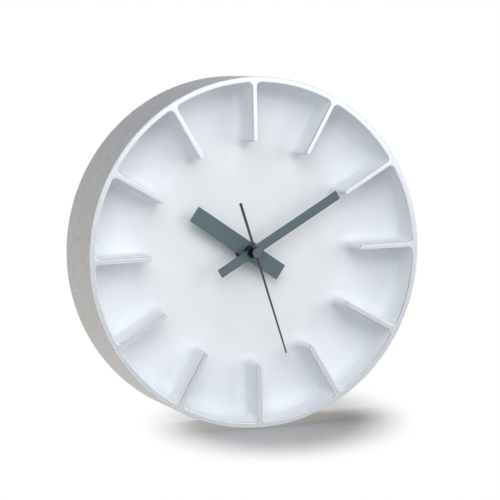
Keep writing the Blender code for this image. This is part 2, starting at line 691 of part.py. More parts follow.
def make_housing(axis):
    """The tray that holds the wheels and, in a bay below them, the battery."""
    outer = rectangle(-HALF_W, HALF_W, BAY_BOTTOM - HOUSING_WALL, ROOM_TOP + HOUSING_WALL)
    housing = piece("movement_housing", prism(outer, HOUSING_FRONT, HOUSING_BACK), "black_plastic", axis)
    hollows = bmesh.new()
    room = rectangle(-HALF_ROOM, HALF_ROOM, ROOM_BOTTOM, ROOM_TOP)
    bay = rectangle(-HALF_ROOM, HALF_ROOM, BAY_BOTTOM, BAY_TOP)
    add_prism(hollows, room, ROOM_FRONT, HOUSING_BACK + OVER)
    add_prism(hollows, bay, HOUSING_FRONT + BAY_FLOOR_T, HOUSING_BACK + OVER)
    combine(housing, "DIFFERENCE", hollows)
    posts = prisms([circle(POST_R, SMALL_SIDES, p) for p in corner_posts()], ROOM_FRONT - SINK, COVER_FRONT - GAP)
    for place in coil_posts():
        add_prism(posts, circle(POST_R, SMALL_SIDES, place), ROOM_FRONT - SINK, SECOND_LEVEL - GAP)
    for place in bridge_pillars() + [(0.0, PILLAR_HIGH)]:
        add_prism(posts, circle(PILLAR_R, SMALL_SIDES, place), ROOM_FRONT - SINK, BRIDGE_FRONT - GAP)
    for place in BOARD_POSTS:
        add_prism(posts, circle(PILLAR_R, SMALL_SIDES, place), ROOM_FRONT - SINK, SECOND_LEVEL - GAP)
    combine(housing, "UNION", posts)
    holes = bmesh.new()
    add_prism(holes, circle(CENTRE_HOLE_R, ROUND_SIDES), HOUSING_FRONT - OVER, ROOM_FRONT + OVER)
    for place in (THIRD_AXIS, SETTING_AXIS):
        arbor = SETTING_ARBOR_R if place == SETTING_AXIS else PIVOT_R
        add_prism(holes, circle(arbor + RUN, SMALL_SIDES, place), ROOM_FRONT - SOCKET_DEPTH, ROOM_FRONT + OVER)
    pilot = SMALL_SCREW["shank"] + GAP
    for places, top in (
        (corner_posts(), COVER_FRONT),
        (coil_posts(), SECOND_LEVEL),
        (bridge_pillars(), BRIDGE_FRONT),
    ):
        for place in places:
            add_prism(holes, circle(pilot, SMALL_SIDES, place), top - SMALL_SCREW["length"], top + OVER)
    combine(housing, "DIFFERENCE", holes)
    seats = bmesh.new()
    flange_seat = circle(BUSH_R + BUSH_FLANGE + GAP, ROUND_SIDES)
    add_prism(seats, flange_seat, ROOM_FRONT - BUSH_FLANGE_T - GAP, ROOM_FRONT + OVER)
    for side in (-1, 1):
        ends = sorted((side * (HALF_ROOM - 2 * GAP - CONTACT_T), side * HALF_ROOM))
        notch = rectangle(*ends, BAY_TOP - OVER, ROOM_BOTTOM + OVER)
        add_prism(seats, notch, SECOND_LEVEL - GAP, HOUSING_BACK + OVER)
    combine(housing, "DIFFERENCE", seats)


def make_cover(axis):
    """The plate that closes the wheels' room from behind, with bearings for three arbors."""
    edges = rectangle(-HALF_ROOM + GAP, HALF_ROOM - GAP, ROOM_BOTTOM + GAP, ROOM_TOP - GAP)
    cover = piece("movement_cover", prism(edges, COVER_FRONT, HOUSING_BACK), "grey_plastic", axis)
    holes = bmesh.new()
    for place, radius in (
        (HAND_AXIS, SHAFT_R + RUN),
        (INTERMEDIATE_AXIS, PIVOT_R + RUN),
        (ROTOR_AXIS, PIVOT_R + RUN),
    ):
        add_prism(holes, circle(radius, SMALL_SIDES, place), COVER_FRONT - OVER, COVER_FRONT + SOCKET_DEPTH)
    through = [(SETTING_AXIS, SETTING_ARBOR_R + RUN)]
    through += [(place, SMALL_SCREW["shank"] + GAP) for place in corner_posts()]
    for place, radius in through:
        add_prism(holes, circle(radius, SMALL_SIDES, place), COVER_FRONT - OVER, HOUSING_BACK + OVER)
    combine(cover, "DIFFERENCE", holes)
    make_screws("cover_screw", corner_posts(), HOUSING_BACK, SMALL_SCREW, axis)


def make_bridge(axis):
    """The plate between the two halves of the train, on three pillars."""
    side = PILLAR_X + PILLAR_R + GAP
    low = PILLAR_LOW - PILLAR_R
    high = PILLAR_HIGH + PILLAR_R
    shoulder = THIRD_AXIS[1] + PILLAR_R
    outline = [
        (-side, low), (side, low), (side, low + 2 * PILLAR_R), (SETTING_AXIS[0] + PILLAR_R * 2, shoulder),
        (2 * PILLAR_R, high), (-2 * PILLAR_R, high), (-side, shoulder),
    ]
    bridge = piece("train_bridge", prism(outline, BRIDGE_FRONT, BRIDGE_BACK), "brass", axis)
    pinion_r = THIRD_MODULE * (SECOND_PINION_TEETH / 2 + TOOTH_TIP_SHARE)
    holes = [
        circle(pinion_r + RUN, SMALL_SIDES, HAND_AXIS),
        circle(PIVOT_R + RUN, SMALL_SIDES, THIRD_AXIS),
        circle(PIVOT_R + RUN, SMALL_SIDES, INTERMEDIATE_AXIS),
        circle(PIVOT_R + RUN, SMALL_SIDES, ROTOR_AXIS),
        circle(SETTING_ARBOR_R + RUN, SMALL_SIDES, SETTING_AXIS),
    ]
    holes += [circle(SMALL_SCREW["shank"] + GAP, SMALL_SIDES, place) for place in bridge_pillars()]
    combine(bridge, "DIFFERENCE", prisms(holes, BRIDGE_FRONT - OVER, BRIDGE_BACK + OVER))
    make_screws("bridge_screw", bridge_pillars(), BRIDGE_BACK, SMALL_SCREW, axis)


# The wheels


def make_minute_train(hand_axis, setting_axis):
    """Cannon pinion, minute wheel, hour wheel and setting knob: the gearing that sets the hands."""
    pinion_back = MINUTE_LEVEL + WHEEL_T + PINION_PROUD
    cannon = pinion(
        CANNON_TEETH, MINUTE_MODULE, HAND_AXIS, SETTING_AXIS, MINUTE_LEVEL - PINION_PROUD, pinion_back
    )
    cannon = piece("cannon_pinion", cannon, "brass", hand_axis)
    pipe_front = MINUTE_NUT_FRONT + GAP
    pipe_back = CENTRE_LEVEL + WHEEL_T
    combine(cannon, "UNION", rod(MINUTE_PIPE_R, pipe_front, pipe_back, ROUND_SIDES))
    combine(cannon, "DIFFERENCE", rod(MINUTE_BORE_R, pipe_front - OVER, pipe_back + OVER))

    hour = wheel(HOUR_TEETH, HOUR_MODULE, HAND_AXIS, SETTING_AXIS, HOUR_LEVEL)
    hour = piece("hour_wheel", hour, "white_nylon", hand_axis)
    hour_pipe_front = HOUR_FRONT - GAP
    combine(hour, "UNION", rod(HOUR_PIPE_R, hour_pipe_front, HOUR_LEVEL + WHEEL_T / 2, ROUND_SIDES))
    combine(hour, "DIFFERENCE", rod(HOUR_BORE_R, hour_pipe_front - OVER, HOUR_LEVEL + LEVEL, ROUND_SIDES))

    minute = wheel(MINUTE_TEETH, MINUTE_MODULE, SETTING_AXIS, HAND_AXIS, MINUTE_LEVEL)
    minute = piece("minute_wheel", minute, "white_nylon", setting_axis)
    small = pinion(
        MINUTE_PINION_TEETH, HOUR_MODULE, SETTING_AXIS, HAND_AXIS,
        HOUR_LEVEL - PINION_PROUD, MINUTE_LEVEL + WHEEL_T / 2,
    )
    combine(minute, "UNION", small)
    arbor_back = KNOB_FRONT + KNOB_T - KNOB_SKIN - GAP
    combine(minute, "UNION", rod(SETTING_ARBOR_R, ROOM_FRONT - PIVOT_LENGTH, arbor_back))

    flutes = []
    for i in range(2 * KNOB_FLUTES):
        radius = KNOB_R - KNOB_FLUTE * (i % 2)
        angle = TURN * i / (2 * KNOB_FLUTES)
        flutes.append((radius * math.sin(angle), radius * math.cos(angle)))
    knob = piece("set_knob", prism(flutes, KNOB_FRONT, KNOB_FRONT + KNOB_T), "white_nylon", setting_axis)
    socket = rod(SETTING_ARBOR_R + GAP, KNOB_FRONT - OVER, KNOB_FRONT + KNOB_T - KNOB_SKIN)
    combine(knob, "DIFFERENCE", socket)


def make_running_train(axes):
    """Rotor to second wheel, and second wheel to the centre wheel that slips on the cannon pinion."""
    centre = wheel(CENTRE_TEETH, CENTRE_MODULE, HAND_AXIS, THIRD_AXIS, CENTRE_LEVEL)
    centre = piece("centre_wheel", centre, "white_nylon", axes["hands"])
    bore = rod(MINUTE_PIPE_R + GAP, CENTRE_LEVEL - OVER, CENTRE_LEVEL + LEVEL + OVER, ROUND_SIDES)
    combine(centre, "DIFFERENCE", bore)

    third = wheel(THIRD_TEETH, THIRD_MODULE, THIRD_AXIS, HAND_AXIS, THIRD_LEVEL)
    third = piece("third_wheel", third, "white_nylon", axes["third"])
    leaves = pinion(
        THIRD_PINION_TEETH, CENTRE_MODULE, THIRD_AXIS, HAND_AXIS,
        CENTRE_LEVEL - PINION_PROUD, THIRD_LEVEL + WHEEL_T / 2,
    )
    combine(third, "UNION", leaves)
    combine(third, "UNION", rod(PIVOT_R, ROOM_FRONT - PIVOT_LENGTH, BRIDGE_FRONT + BRIDGE_T / 2))

    second = wheel(SECOND_TEETH, SECOND_MODULE, HAND_AXIS, INTERMEDIATE_AXIS, SECOND_LEVEL)
    second = piece("second_wheel", second, "white_nylon", axes["hands"])
    leaves = pinion(
        SECOND_PINION_TEETH, THIRD_MODULE, HAND_AXIS, THIRD_AXIS,
        THIRD_LEVEL - PINION_PROUD, THIRD_LEVEL + WHEEL_T + PINION_PROUD,
    )
    combine(second, "UNION", leaves)
    shaft_front = CAP_FRONT + CAP_T + GAP + CAP_STEM + GAP
    combine(second, "UNION", rod(SHAFT_R, shaft_front, COVER_FRONT + PIVOT_LENGTH))

    intermediate = wheel(
        INTERMEDIATE_TEETH, ROTOR_MODULE, INTERMEDIATE_AXIS, ROTOR_AXIS, INTERMEDIATE_LEVEL
    )
    intermediate = piece("intermediate_wheel", intermediate, "white_nylon", axes["intermediate"])
    leaves = pinion(
        INTERMEDIATE_PINION_TEETH, SECOND_MODULE, INTERMEDIATE_AXIS, HAND_AXIS,
        SECOND_LEVEL - PINION_PROUD, INTERMEDIATE_LEVEL + WHEEL_T / 2,
    )
    combine(intermediate, "UNION", leaves)
    arbor = rod(PIVOT_R, BRIDGE_FRONT + BRIDGE_T / 2, COVER_FRONT + PIVOT_LENGTH)
    combine(intermediate, "UNION", arbor)

    leaves = pinion(
        ROTOR_TEETH, ROTOR_MODULE, ROTOR_AXIS, INTERMEDIATE_AXIS,
        INTERMEDIATE_LEVEL, INTERMEDIATE_LEVEL + WHEEL_T + PINION_PROUD,
    )
    rotor = piece("rotor_pinion", leaves, "white_nylon", axes["rotor"])
    combine(rotor, "UNION", rod(PIVOT_R, BRIDGE_FRONT + BRIDGE_T / 2, COVER_FRONT + PIVOT_LENGTH))
    magnet = tube(PIVOT_R + GAP, MAGNET_R, BRIDGE_BACK + GAP, INTERMEDIATE_LEVEL - GAP, SMALL_SIDES)
    piece("rotor_magnet", magnet, "magnet", axes["rotor"])


# The motor's fixed parts and the electronics


def make_motor(axis):
    """Stator round the rotor, and the coil on its core above it."""
    reach = COIL_SCREW_X + STATOR_LEG / 2
    inside = COIL_SCREW_X - STATOR_LEG / 2
    low = ROTOR_AXIS[1] - STATOR_BAR
    mid = ROTOR_AXIS[1] + STATOR_BAR
    high = COIL_UP + STATOR_LEG / 2
    yoke = [
        (-reach, low), (reach, low), (reach, high), (inside, high),
        (inside, mid), (-inside, mid), (-inside, high), (-reach, high),
    ]
    stator = piece("stator", prism(yoke, SECOND_LEVEL, SECOND_LEVEL + STATOR_T), "steel", axis)
    pilot = SMALL_SCREW["shank"] + GAP
    screw_holes = [circle(pilot, SMALL_SIDES, place) for place in coil_posts()]
    rotor_hole = circle(STATOR_HOLE_R, ROUND_SIDES, ROTOR_AXIS)
    cutters = prisms([rotor_hole, *screw_holes], SECOND_LEVEL - OVER, SECOND_LEVEL + STATOR_T + OVER)
    combine(stator, "DIFFERENCE", cutters)

    neck = CORE_W / 2
    pad = STATOR_LEG / 2
    bar = [
        (-reach, COIL_UP - pad), (-inside, COIL_UP - pad), (-inside, COIL_UP - neck),
        (inside, COIL_UP - neck), (inside, COIL_UP - pad), (reach, COIL_UP - pad),
        (reach, COIL_UP + pad), (inside, COIL_UP + pad), (inside, COIL_UP + neck),
        (-inside, COIL_UP + neck), (-inside, COIL_UP + pad), (-reach, COIL_UP + pad),
    ]
    core = piece("coil_core", prism(bar, CORE_FRONT, CORE_FRONT + CORE_T), "steel", axis)
    combine(core, "DIFFERENCE", prisms(screw_holes, CORE_FRONT - OVER, CORE_FRONT + CORE_T + OVER))
    make_screws("coil_screw", coil_posts(), CORE_FRONT + CORE_T, SMALL_SCREW, axis)

    hollow = math.hypot(CORE_W, CORE_T) / 2 + GAP
    barrel = hollow + BOBBIN_WALL
    end = COIL_LENGTH / 2
    spool = turned(
        [
            (hollow, -end), (COIL_FLANGE_R, -end), (COIL_FLANGE_R, -end + COIL_FLANGE_T),
            (barrel, -end + COIL_FLANGE_T), (barrel, end - COIL_FLANGE_T),
            (COIL_FLANGE_R, end - COIL_FLANGE_T), (COIL_FLANGE_R, end), (hollow, end),
        ],
        SMALL_SIDES,
    )
    wound = end - COIL_FLANGE_T - GAP
    winding = tube(barrel + GAP, barrel + GAP + WINDING_T, -wound, wound, SMALL_SIDES)
    for name, mesh, finish in (("coil_bobbin", spool, "black_plastic"), ("coil_winding", winding, "copper")):
        obj = piece(name, mesh, finish, axis)
        obj.location = (0.0, COIL_DEPTH, COIL_UP)
        obj.rotation_euler.z = TURN / 4


def make_board(axis):
    """Circuit board on two posts, with its chip and the quartz crystal."""
    left, right = BOARD_RIGHT - BOARD_W, BOARD_RIGHT
    outline = rectangle(left, right, BOARD_UP - BOARD_H / 2, BOARD_UP + BOARD_H / 2)
    back = SECOND_LEVEL + BOARD_T
    piece("circuit_board", prism(outline, SECOND_LEVEL, back), "board_green", axis)
    dome = turned(
        [
            (0.0, back + GAP), (CHIP_R, back + GAP), (CHIP_R, back + GAP + CHIP_T / 3),
            (CHIP_R * 2 / 3, back + GAP + CHIP_T), (0.0, back + GAP + CHIP_T),
        ],
        SMALL_SIDES,
        closed=False,
    )
    chip = piece("driver_chip", dome, "black_plastic", axis)
    chip.location = (BOARD_X, 0.0, BOARD_UP - BOARD_H / 4)
    can = rod(CRYSTAL_R, -CRYSTAL_LENGTH / 2, CRYSTAL_LENGTH / 2)
    crystal = piece("quartz_crystal", can, "steel", axis)
    crystal.location = (BOARD_X, back + GAP + CRYSTAL_R, BOARD_UP + BOARD_H / 4)
    crystal.rotation_euler.x = TURN / 4


def make_power(axis):
    """The battery and the two sheet contacts at the ends of its bay."""
    left = -HALF_ROOM + BAY_LEFT_ROOM
    shoulder = BATTERY_LENGTH - BUTTON_T
    cell = turned(
        [
            (0.0, 0.0), (BATTERY_R - BATTERY_EDGE, 0.0), (BATTERY_R, BATTERY_EDGE),
            (BATTERY_R, shoulder - BATTERY_EDGE), (BATTERY_R - BATTERY_EDGE, shoulder),
            (BUTTON_R, shoulder), (BUTTON_R, BATTERY_LENGTH), (0.0, BATTERY_LENGTH),
        ],
        closed=False,
    )
    battery = piece("battery", cell, "battery_jacket", axis)
    battery.location = (left, BATTERY_DEPTH, BATTERY_UP)
    battery.rotation_euler.z = -TURN / 4

    low, high = BATTERY_UP - CONTACT_W / 2, BATTERY_UP + CONTACT_W / 2
    front, back = BATTERY_DEPTH - CONTACT_W / 2, BATTERY_DEPTH + CONTACT_W / 2
    neck_top = BOARD_UP - BOARD_H / 4
    blank = [
        (front, low), (back, low), (back, high), (SECOND_LEVEL + CONTACT_NECK, high),
        (SECOND_LEVEL + CONTACT_NECK, neck_top), (SECOND_LEVEL, neck_top), (SECOND_LEVEL, high),
        (front, high),
    ]
    wall_side = HALF_ROOM - GAP
    positive = prism(blank, wall_side - CONTACT_T, wall_side, "X")
    piece("positive_contact", positive, "steel", axis)
    negative = prism(blank, -wall_side, -wall_side + CONTACT_T, "X")
    negative = piece("negative_contact", negative, "steel", axis)
    inner = -wall_side + CONTACT_T
    leaf = [
        (inner - CONTACT_T / 2, back), (inner - CONTACT_T / 2, back - 2 * CONTACT_T),
        (inner + SPRING_BOW - CONTACT_T, BATTERY_DEPTH + CONTACT_T),
        (inner + SPRING_BOW - CONTACT_T, front), (inner + SPRING_BOW, front),
        (inner + SPRING_BOW, BATTERY_DEPTH + CONTACT_T), (inner, back),
    ]
    half_leaf = SPRING_LEAF_W / 2
    combine(negative, "UNION", prism(leaf, BATTERY_UP - half_leaf, BATTERY_UP + half_leaf, "Z"))


def main():
    clear_scene()
    axes = {
        "hands": axis_empty("hand_axis", HAND_AXIS),
        "third": axis_empty("third_axis", THIRD_AXIS),
        "setting": axis_empty("setting_axis", SETTING_AXIS),
        "intermediate": axis_empty("intermediate_axis", INTERMEDIATE_AXIS),
        "rotor": axis_empty("rotor_axis", ROTOR_AXIS),
    }
    hands = axes["hands"]
    make_case(hands)
    make_hanger(hands)
    make_hour_hand(hands)
    make_minute_hand(hands)
    make_second_hand(hands)
    make_fixings(hands)
    make_housing(hands)
    make_cover(hands)
    make_bridge(hands)
    make_minute_train(hands, axes["setting"])
    make_running_train(axes)
    make_motor(hands)
    make_board(hands)
    make_power(hands)


main()
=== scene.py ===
"""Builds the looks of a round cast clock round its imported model: finishes, fine shapes, stage and camera."""

import math

import bmesh
import bpy
from bpy.props import FloatProperty, FloatVectorProperty, PointerProperty
from mathutils import Matrix, Vector


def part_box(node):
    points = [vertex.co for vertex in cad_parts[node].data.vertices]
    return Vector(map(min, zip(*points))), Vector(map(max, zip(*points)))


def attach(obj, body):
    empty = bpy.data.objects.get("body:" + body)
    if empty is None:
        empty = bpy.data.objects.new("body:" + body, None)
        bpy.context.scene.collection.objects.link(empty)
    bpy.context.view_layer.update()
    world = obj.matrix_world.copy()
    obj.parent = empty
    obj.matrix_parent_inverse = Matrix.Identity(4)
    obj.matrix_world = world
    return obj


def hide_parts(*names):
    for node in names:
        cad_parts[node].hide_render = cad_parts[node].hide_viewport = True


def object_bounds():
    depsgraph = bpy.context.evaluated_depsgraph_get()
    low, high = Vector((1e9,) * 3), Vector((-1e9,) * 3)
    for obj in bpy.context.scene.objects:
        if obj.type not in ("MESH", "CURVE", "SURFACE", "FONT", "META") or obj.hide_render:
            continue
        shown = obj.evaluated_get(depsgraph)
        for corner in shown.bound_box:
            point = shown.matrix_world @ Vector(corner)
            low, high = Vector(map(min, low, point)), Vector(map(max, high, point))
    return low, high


bl_info = {
    "name": "Cast Ridge Clock",
    "version": (1, 0, 0),
    "blender": (4, 5, 0),
    "location": "3D View > Sidebar > Clock",
    "description": "Builds a round cast clock with hour ridges, its hands and its battery movement",
    "category": "Object",
}

MM = 0.001
TURN = 2 * math.pi
QUARTER = math.pi / 2
SHARP_ANGLE = math.radians(38)  # faces that meet at more than this show an edge

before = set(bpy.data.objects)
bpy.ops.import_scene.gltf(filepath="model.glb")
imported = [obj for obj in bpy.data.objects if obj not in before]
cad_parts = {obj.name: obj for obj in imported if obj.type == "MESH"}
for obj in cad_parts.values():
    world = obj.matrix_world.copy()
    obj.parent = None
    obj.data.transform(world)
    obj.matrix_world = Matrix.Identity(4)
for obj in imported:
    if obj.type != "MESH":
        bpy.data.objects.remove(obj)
CAD_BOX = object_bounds()


# Places and sizes read from the frame


def hand_axis():
    """The point where the hands' axis meets the plane of the front rim."""
    low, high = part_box("case")
    return Vector(((low.x + high.x) / 2, low.y, (low.z + high.z) / 2))


ORIGIN = hand_axis()


def depths(node):
    """A node's front and back, as depths behind the front rim."""
    low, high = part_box(node)
    return low.y - ORIGIN.y, high.y - ORIGIN.y


def span(node):
    """A node's left, right, bottom and top across the clock, from the hands' axis."""
    low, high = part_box(node)
    return low.x - ORIGIN.x, high.x - ORIGIN.x, low.z - ORIGIN.z, high.z - ORIGIN.z


def middle(node):
    """A node's middle across the clock, as (x, z) from the hands' axis."""
    left, right, bottom, top = span(node)
    return (left + right) / 2, (bottom + top) / 2


def radius(node):
    """Half of a node's width."""
    left, right, _, _ = span(node)
    return (right - left) / 2


def linear(colour):
    """An sRGB hex colour as linear red, green and blue."""
    channels = [int(colour[i:i + 2], 16) / 255 for i in (0, 2, 4)]
    return tuple(c / 12.92 if c <= 0.04045 else ((c + 0.055) / 1.055) ** 2.4 for c in channels)


# Sizes and colours that a user would change


def length(name, description, millimetres):
    default = millimetres * MM
    return FloatProperty(name=name, description=description, default=default, min=0.0, unit="LENGTH", precision=5)


def angle(name, description, degrees):
    return FloatProperty(name=name, description=description, default=math.radians(degrees), unit="ROTATION")


def colour(name, description, default):
    return FloatVectorProperty(
        name=name, description=description, default=linear(default), size=3, min=0.0, max=1.0, subtype="COLOR"
    )


class ClockCaseSizes(bpy.types.PropertyGroup):
    rim_r: length("Rim radius", "Outer radius at the front rim", radius("case") / MM)
    case_depth: length("Case depth", "From the front rim to the back edge", depths("case")[1] / MM)
    side_taper: length("Side taper", "How far the side draws in at the back", 0.6)
    wall: length("Wall", "Thickness of the rim and the side", 2.8)
    rim_round: length("Rim rounding", "Radius on the rim's outer edge", 0.5)
    recess: length("Recess", "From the front rim to the dial", 18.0)
    recess_taper: length("Recess taper", "How far the inside draws in at the dial", 0.9)
    recess_fillet: length("Recess fillet", "Radius where the inside meets the dial", 6.5)
    dial_t: length("Dial thickness", "From the dial to its back", 2.2)
    hole_r: length("Centre hole", "Radius of the hole in the dial", 3.9)
    crest_round: length("Crest rounding", "Radius on the edges of the ridges and inside the rim", 0.4)
    ridge_w: length("Ridge width", "Width of an hour ridge at its crest", 2.5)
    ridge_tip_r: length("Ridge tip radius", "From the hands' axis to a ridge's inner end", 56.1)
    ridge_lean: length("Ridge draft", "How far each side of a ridge leans out at its foot", 0.6)
    ridge_fillet: length("Ridge fillet", "Radius at a ridge's foot", 4.5)
    crest_flare: length("Crest flare", "Radius where a crest meets the rim", 2.2)
    foot_flare: length("Foot flare", "Radius where a ridge's foot meets the wall", 4.0)


class ClockHandSizes(bpy.types.PropertyGroup):
    hour_angle: angle("Hour hand", "Clockwise from twelve", 304.9)
    minute_angle: angle("Minute hand", "Clockwise from twelve", 60.3)
    second_angle: angle("Second hand", "Clockwise from twelve", 163.1)
    hour_tip: length("Hour hand reach", "From the axis to its tip", 35.8)
    hour_tail: length("Hour hand tail", "From the axis to its tail end", 20.4)
    hour_w: length("Hour hand width", "Width of its bar", 8.6)
    hour_boss_r: length("Hour hand boss", "Radius of its round middle", 5.15)
    minute_tip: length("Minute hand reach", "From the axis to its tip", 54.4)
    minute_tail: length("Minute hand tail", "From the axis to its tail end", 20.6)
    minute_w: length("Minute hand width", "Width of its bar", 4.7)
    second_tip: length("Second hand reach", "From the axis to its tip", 54.2)
    second_tail: length("Second hand tail", "From the axis to its tail end", 26.5)
    second_tip_w: length("Second hand tip", "Width at its tip", 0.75)
    second_tail_w: length("Second hand tail width", "Width at its tail end", 1.4)


class ClockColours(bpy.types.PropertyGroup):
    coat: colour("Case coat", "White powder coat of the dial, ridges and rim", "E8ECF1")
    faced: colour("Faced rim", "Machined aluminium of the rim's face and the crests", "C4C9CE")
    cut: colour("Cut edges", "Bare aluminium on the edges of the crests and inside the rim", "DBDFE3")
    casting: colour("Bare casting", "Blasted aluminium of the side and back", "BBB9B6")
    slate: colour("Hands", "Slate paint of the hour and minute hands", "52646B")
    charcoal: colour("Second hand", "Charcoal paint of the second hand", "2A2D32")
    black_plastic: colour("Housing", "Black plastic of the movement's housing", "232427")
    grey_plastic: colour("Cover", "Grey plastic of the movement's cover", "8E9296")
    jacket: colour("Battery", "Printed film round the battery", "3F6F9A")


# Shapes. All are in (x, depth, z) from the hands' axis at the front rim.


def arc(centre, r, start, stop, steps):
    """Points on an arc, with angles counted from the first coordinate towards the second."""
    angles = [start + (stop - start) * i / steps for i in range(steps + 1)]
    return [(centre[0] + r * math.cos(a), centre[1] + r * math.sin(a)) for a in angles]


def circle(r, sides, centre=(0.0, 0.0)):
    return arc(centre, r, 0.0, TURN, sides)[:-1]


def softened(points, r, steps=3):
    """An outline with each of its corners cut back by r and rounded."""
    out = []
    for i, here in enumerate(points):
        corner = Vector(here)
        before, after = Vector(points[i - 1]), Vector(points[(i + 1) % len(points)])
        start = corner + (before - corner).normalized() * r
        end = corner + (after - corner).normalized() * r
        for step in range(steps + 1):
            t = step / steps
            out.append(tuple(start * (1 - t) ** 2 + corner * 2 * t * (1 - t) + end * t**2))
    return out


def soft_box(left, right, low, high, r, steps=3):
    """The outline of a box with rounded corners."""
    return softened([(left, low), (right, low), (right, high), (left, high)], r, steps)


def offset(points, distance):
    """An outline moved inwards by a distance, or outwards by a negative one."""
    area = sum(a[0] * b[1] - b[0] * a[1] for a, b in zip(points, points[1:] + points[:1]))
    side = 1 if area > 0 else -1
    out = []
    for i, here in enumerate(points):
        normals = []
        for a, b in ((points[i - 1], here), (here, points[(i + 1) % len(points)])):
            along = (Vector(b) - Vector(a)).normalized()
            normals.append(Vector((-along.y, along.x)) * side)
        mitre = (normals[0] + normals[1]) / (1 + normals[0].dot(normals[1]))
        out.append(tuple(Vector(here) + mitre * distance))
    return out


def ring(mesh, outline, depth):
    return [mesh.verts.new((x, depth, z)) for x, z in outline]


def skin(mesh, rings, slot=0):
    """Quads between rings of equal count."""
    for a, b in zip(rings, rings[1:]):
        for i in range(len(a)):
            mesh.faces.new((a[i - 1], a[i], b[i], b[i - 1])).material_index = slot


def fill(mesh, loops, slot=0):
    """A flat face inside the first loop, with the other loops as its holes."""
    edges = []
    for loop in loops:
        for i in range(len(loop)):
            pair = (loop[i - 1], loop[i])
            edges.append(mesh.edges.get(pair) or mesh.edges.new(pair))
    made = bmesh.ops.triangle_fill(mesh, edges=edges, use_beauty=True, use_dissolve=False)
    for item in made["geom"]:
        if isinstance(item, bmesh.types.BMFace):
            item.material_index = slot


def rounding(steps=2):
    """Shares of a rounded edge's radius, as (inset, depth) from a flat face round to the side."""
    return [(1 - math.sin(QUARTER * i / steps), 1 - math.cos(QUARTER * i / steps)) for i in range(steps + 1)]


def rounded_levels(front, back, edge):
    """(inset, depth) from the front to the back of a plate whose edges are both rounded."""
    levels = [(edge * inset, front + edge * down) for inset, down in rounding()]
    return levels + [(edge * inset, back - edge * down) for inset, down in reversed(rounding())]


def stack(mesh, outline, levels):
    """A ring of an outline at each (inset, depth)."""
    return [ring(mesh, offset(outline, inset) if inset else outline, depth) for inset, depth in levels]


def slab(mesh, loops, front, back, edge):
    """A plate with rounded edges. The first loop is its outline and the others are holes through it."""
    fronts, backs = [], []
    for number, loop in enumerate(loops):
        side = -1 if number else 1
        rings = stack(mesh, loop, [(side * inset, depth) for inset, depth in rounded_levels(front, back, edge)])
        skin(mesh, rings)
        fronts.append(rings[0])
        backs.append(rings[-1])
    fill(mesh, fronts)
    fill(mesh, backs)


def lathe(mesh, profile, sides=64, centre=(0.0, 0.0), slot=0):
    """Turns (radius, depth) points about an axis. A radius of 0 closes the shape there."""
    rings = [ring(mesh, circle(r, sides, centre) if r else [centre], depth) for r, depth in profile]
    for a, b in zip(rings, rings[1:]):
        if len(a) == len(b):
            skin(mesh, [a, b], slot)
            continue
        pole, loop = (a[0], b) if len(a) == 1 else (b[0], a)
        for i in range(len(loop)):
            mesh.faces.new((loop[i - 1], loop[i], pole)).material_index = slot
    return rings


def washer(mesh, inner, outer, front, back, edge, sides=64):
    """A ring with softened corners."""
    profile = soft_box(inner, outer, front, back, edge)
    lathe(mesh, profile + profile[:1], sides)


def add_object(name, data):
    obj = bpy.data.objects.new(name, data)
    bpy.context.scene.collection.objects.link(obj)
    return obj


def piece(name, mesh, finishes, body, nodes, place=(0.0, 0.0), turn=0.0):
    """Makes an object of a closed mesh, rides it on a body and lets it stand for CAD nodes."""
    bmesh.ops.remove_doubles(mesh, verts=mesh.verts, dist=MM / 1000)
    bmesh.ops.recalc_face_normals(mesh, faces=mesh.faces)
    data = bpy.data.meshes.new(name)
    mesh.to_mesh(data)
    mesh.free()
    for finish in finishes:
        data.materials.append(finish)
    data.shade_smooth()
    data.set_sharp_from_angle(angle=SHARP_ANGLE)
    obj = add_object(name, data)
    obj.location = ORIGIN + Vector((place[0], 0.0, place[1]))
    obj.rotation_euler.y = turn
    obj.modifiers.new("Flat faces stay flat", "WEIGHTED_NORMAL").keep_sharp = True
    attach(obj, body)
    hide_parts(*nodes)


def washer_piece(name, node, bore_r, edge, finish, body, sides=64):
    """A plain ring of a CAD node's outer radius and thickness."""
    mesh = bmesh.new()
    washer(mesh, bore_r, radius(node), *depths(node), edge, sides)
    piece(name, mesh, [finish], body, [node])


# Materials

WAVE_RATE = 20  # how many radians of the wave texture pass in one unit at a scale of 1
COLOUR_NOISE = (0.35, 0.65)  # the part of the noise's range that a drift of colour uses
ROUGHNESS_NOISE = (0.3, 0.7)


def add_node(tree, kind, settings=None, links=None):
    """Adds a node with its settings, by property, input name or input number, and links to its inputs."""
    made = tree.nodes.new("ShaderNode" + kind)
    for name, value in (settings or {}).items():
        if isinstance(name, int) or name in made.inputs:
            made.inputs[name].default_value = value
        else:
            setattr(made, name, value)
    for name, socket in (links or {}).items():
        tree.links.new(made.inputs[name], socket)
    return made


def drive(tree, name, socket):
    """Lets a pattern set an input of the shader."""
    tree.links.new(tree.nodes["Principled BSDF"].inputs[name], socket)


def grain(tree, size, detail):
    """A pattern on the object whose blotches are about size across, in metres."""
    place = add_node(tree, "TexCoord")
    settings = {"Scale": 1 / size, "Detail": detail, "Roughness": 0.55}
    return add_node(tree, "TexNoise", settings, {"Vector": place.outputs["Object"]}).outputs["Fac"]


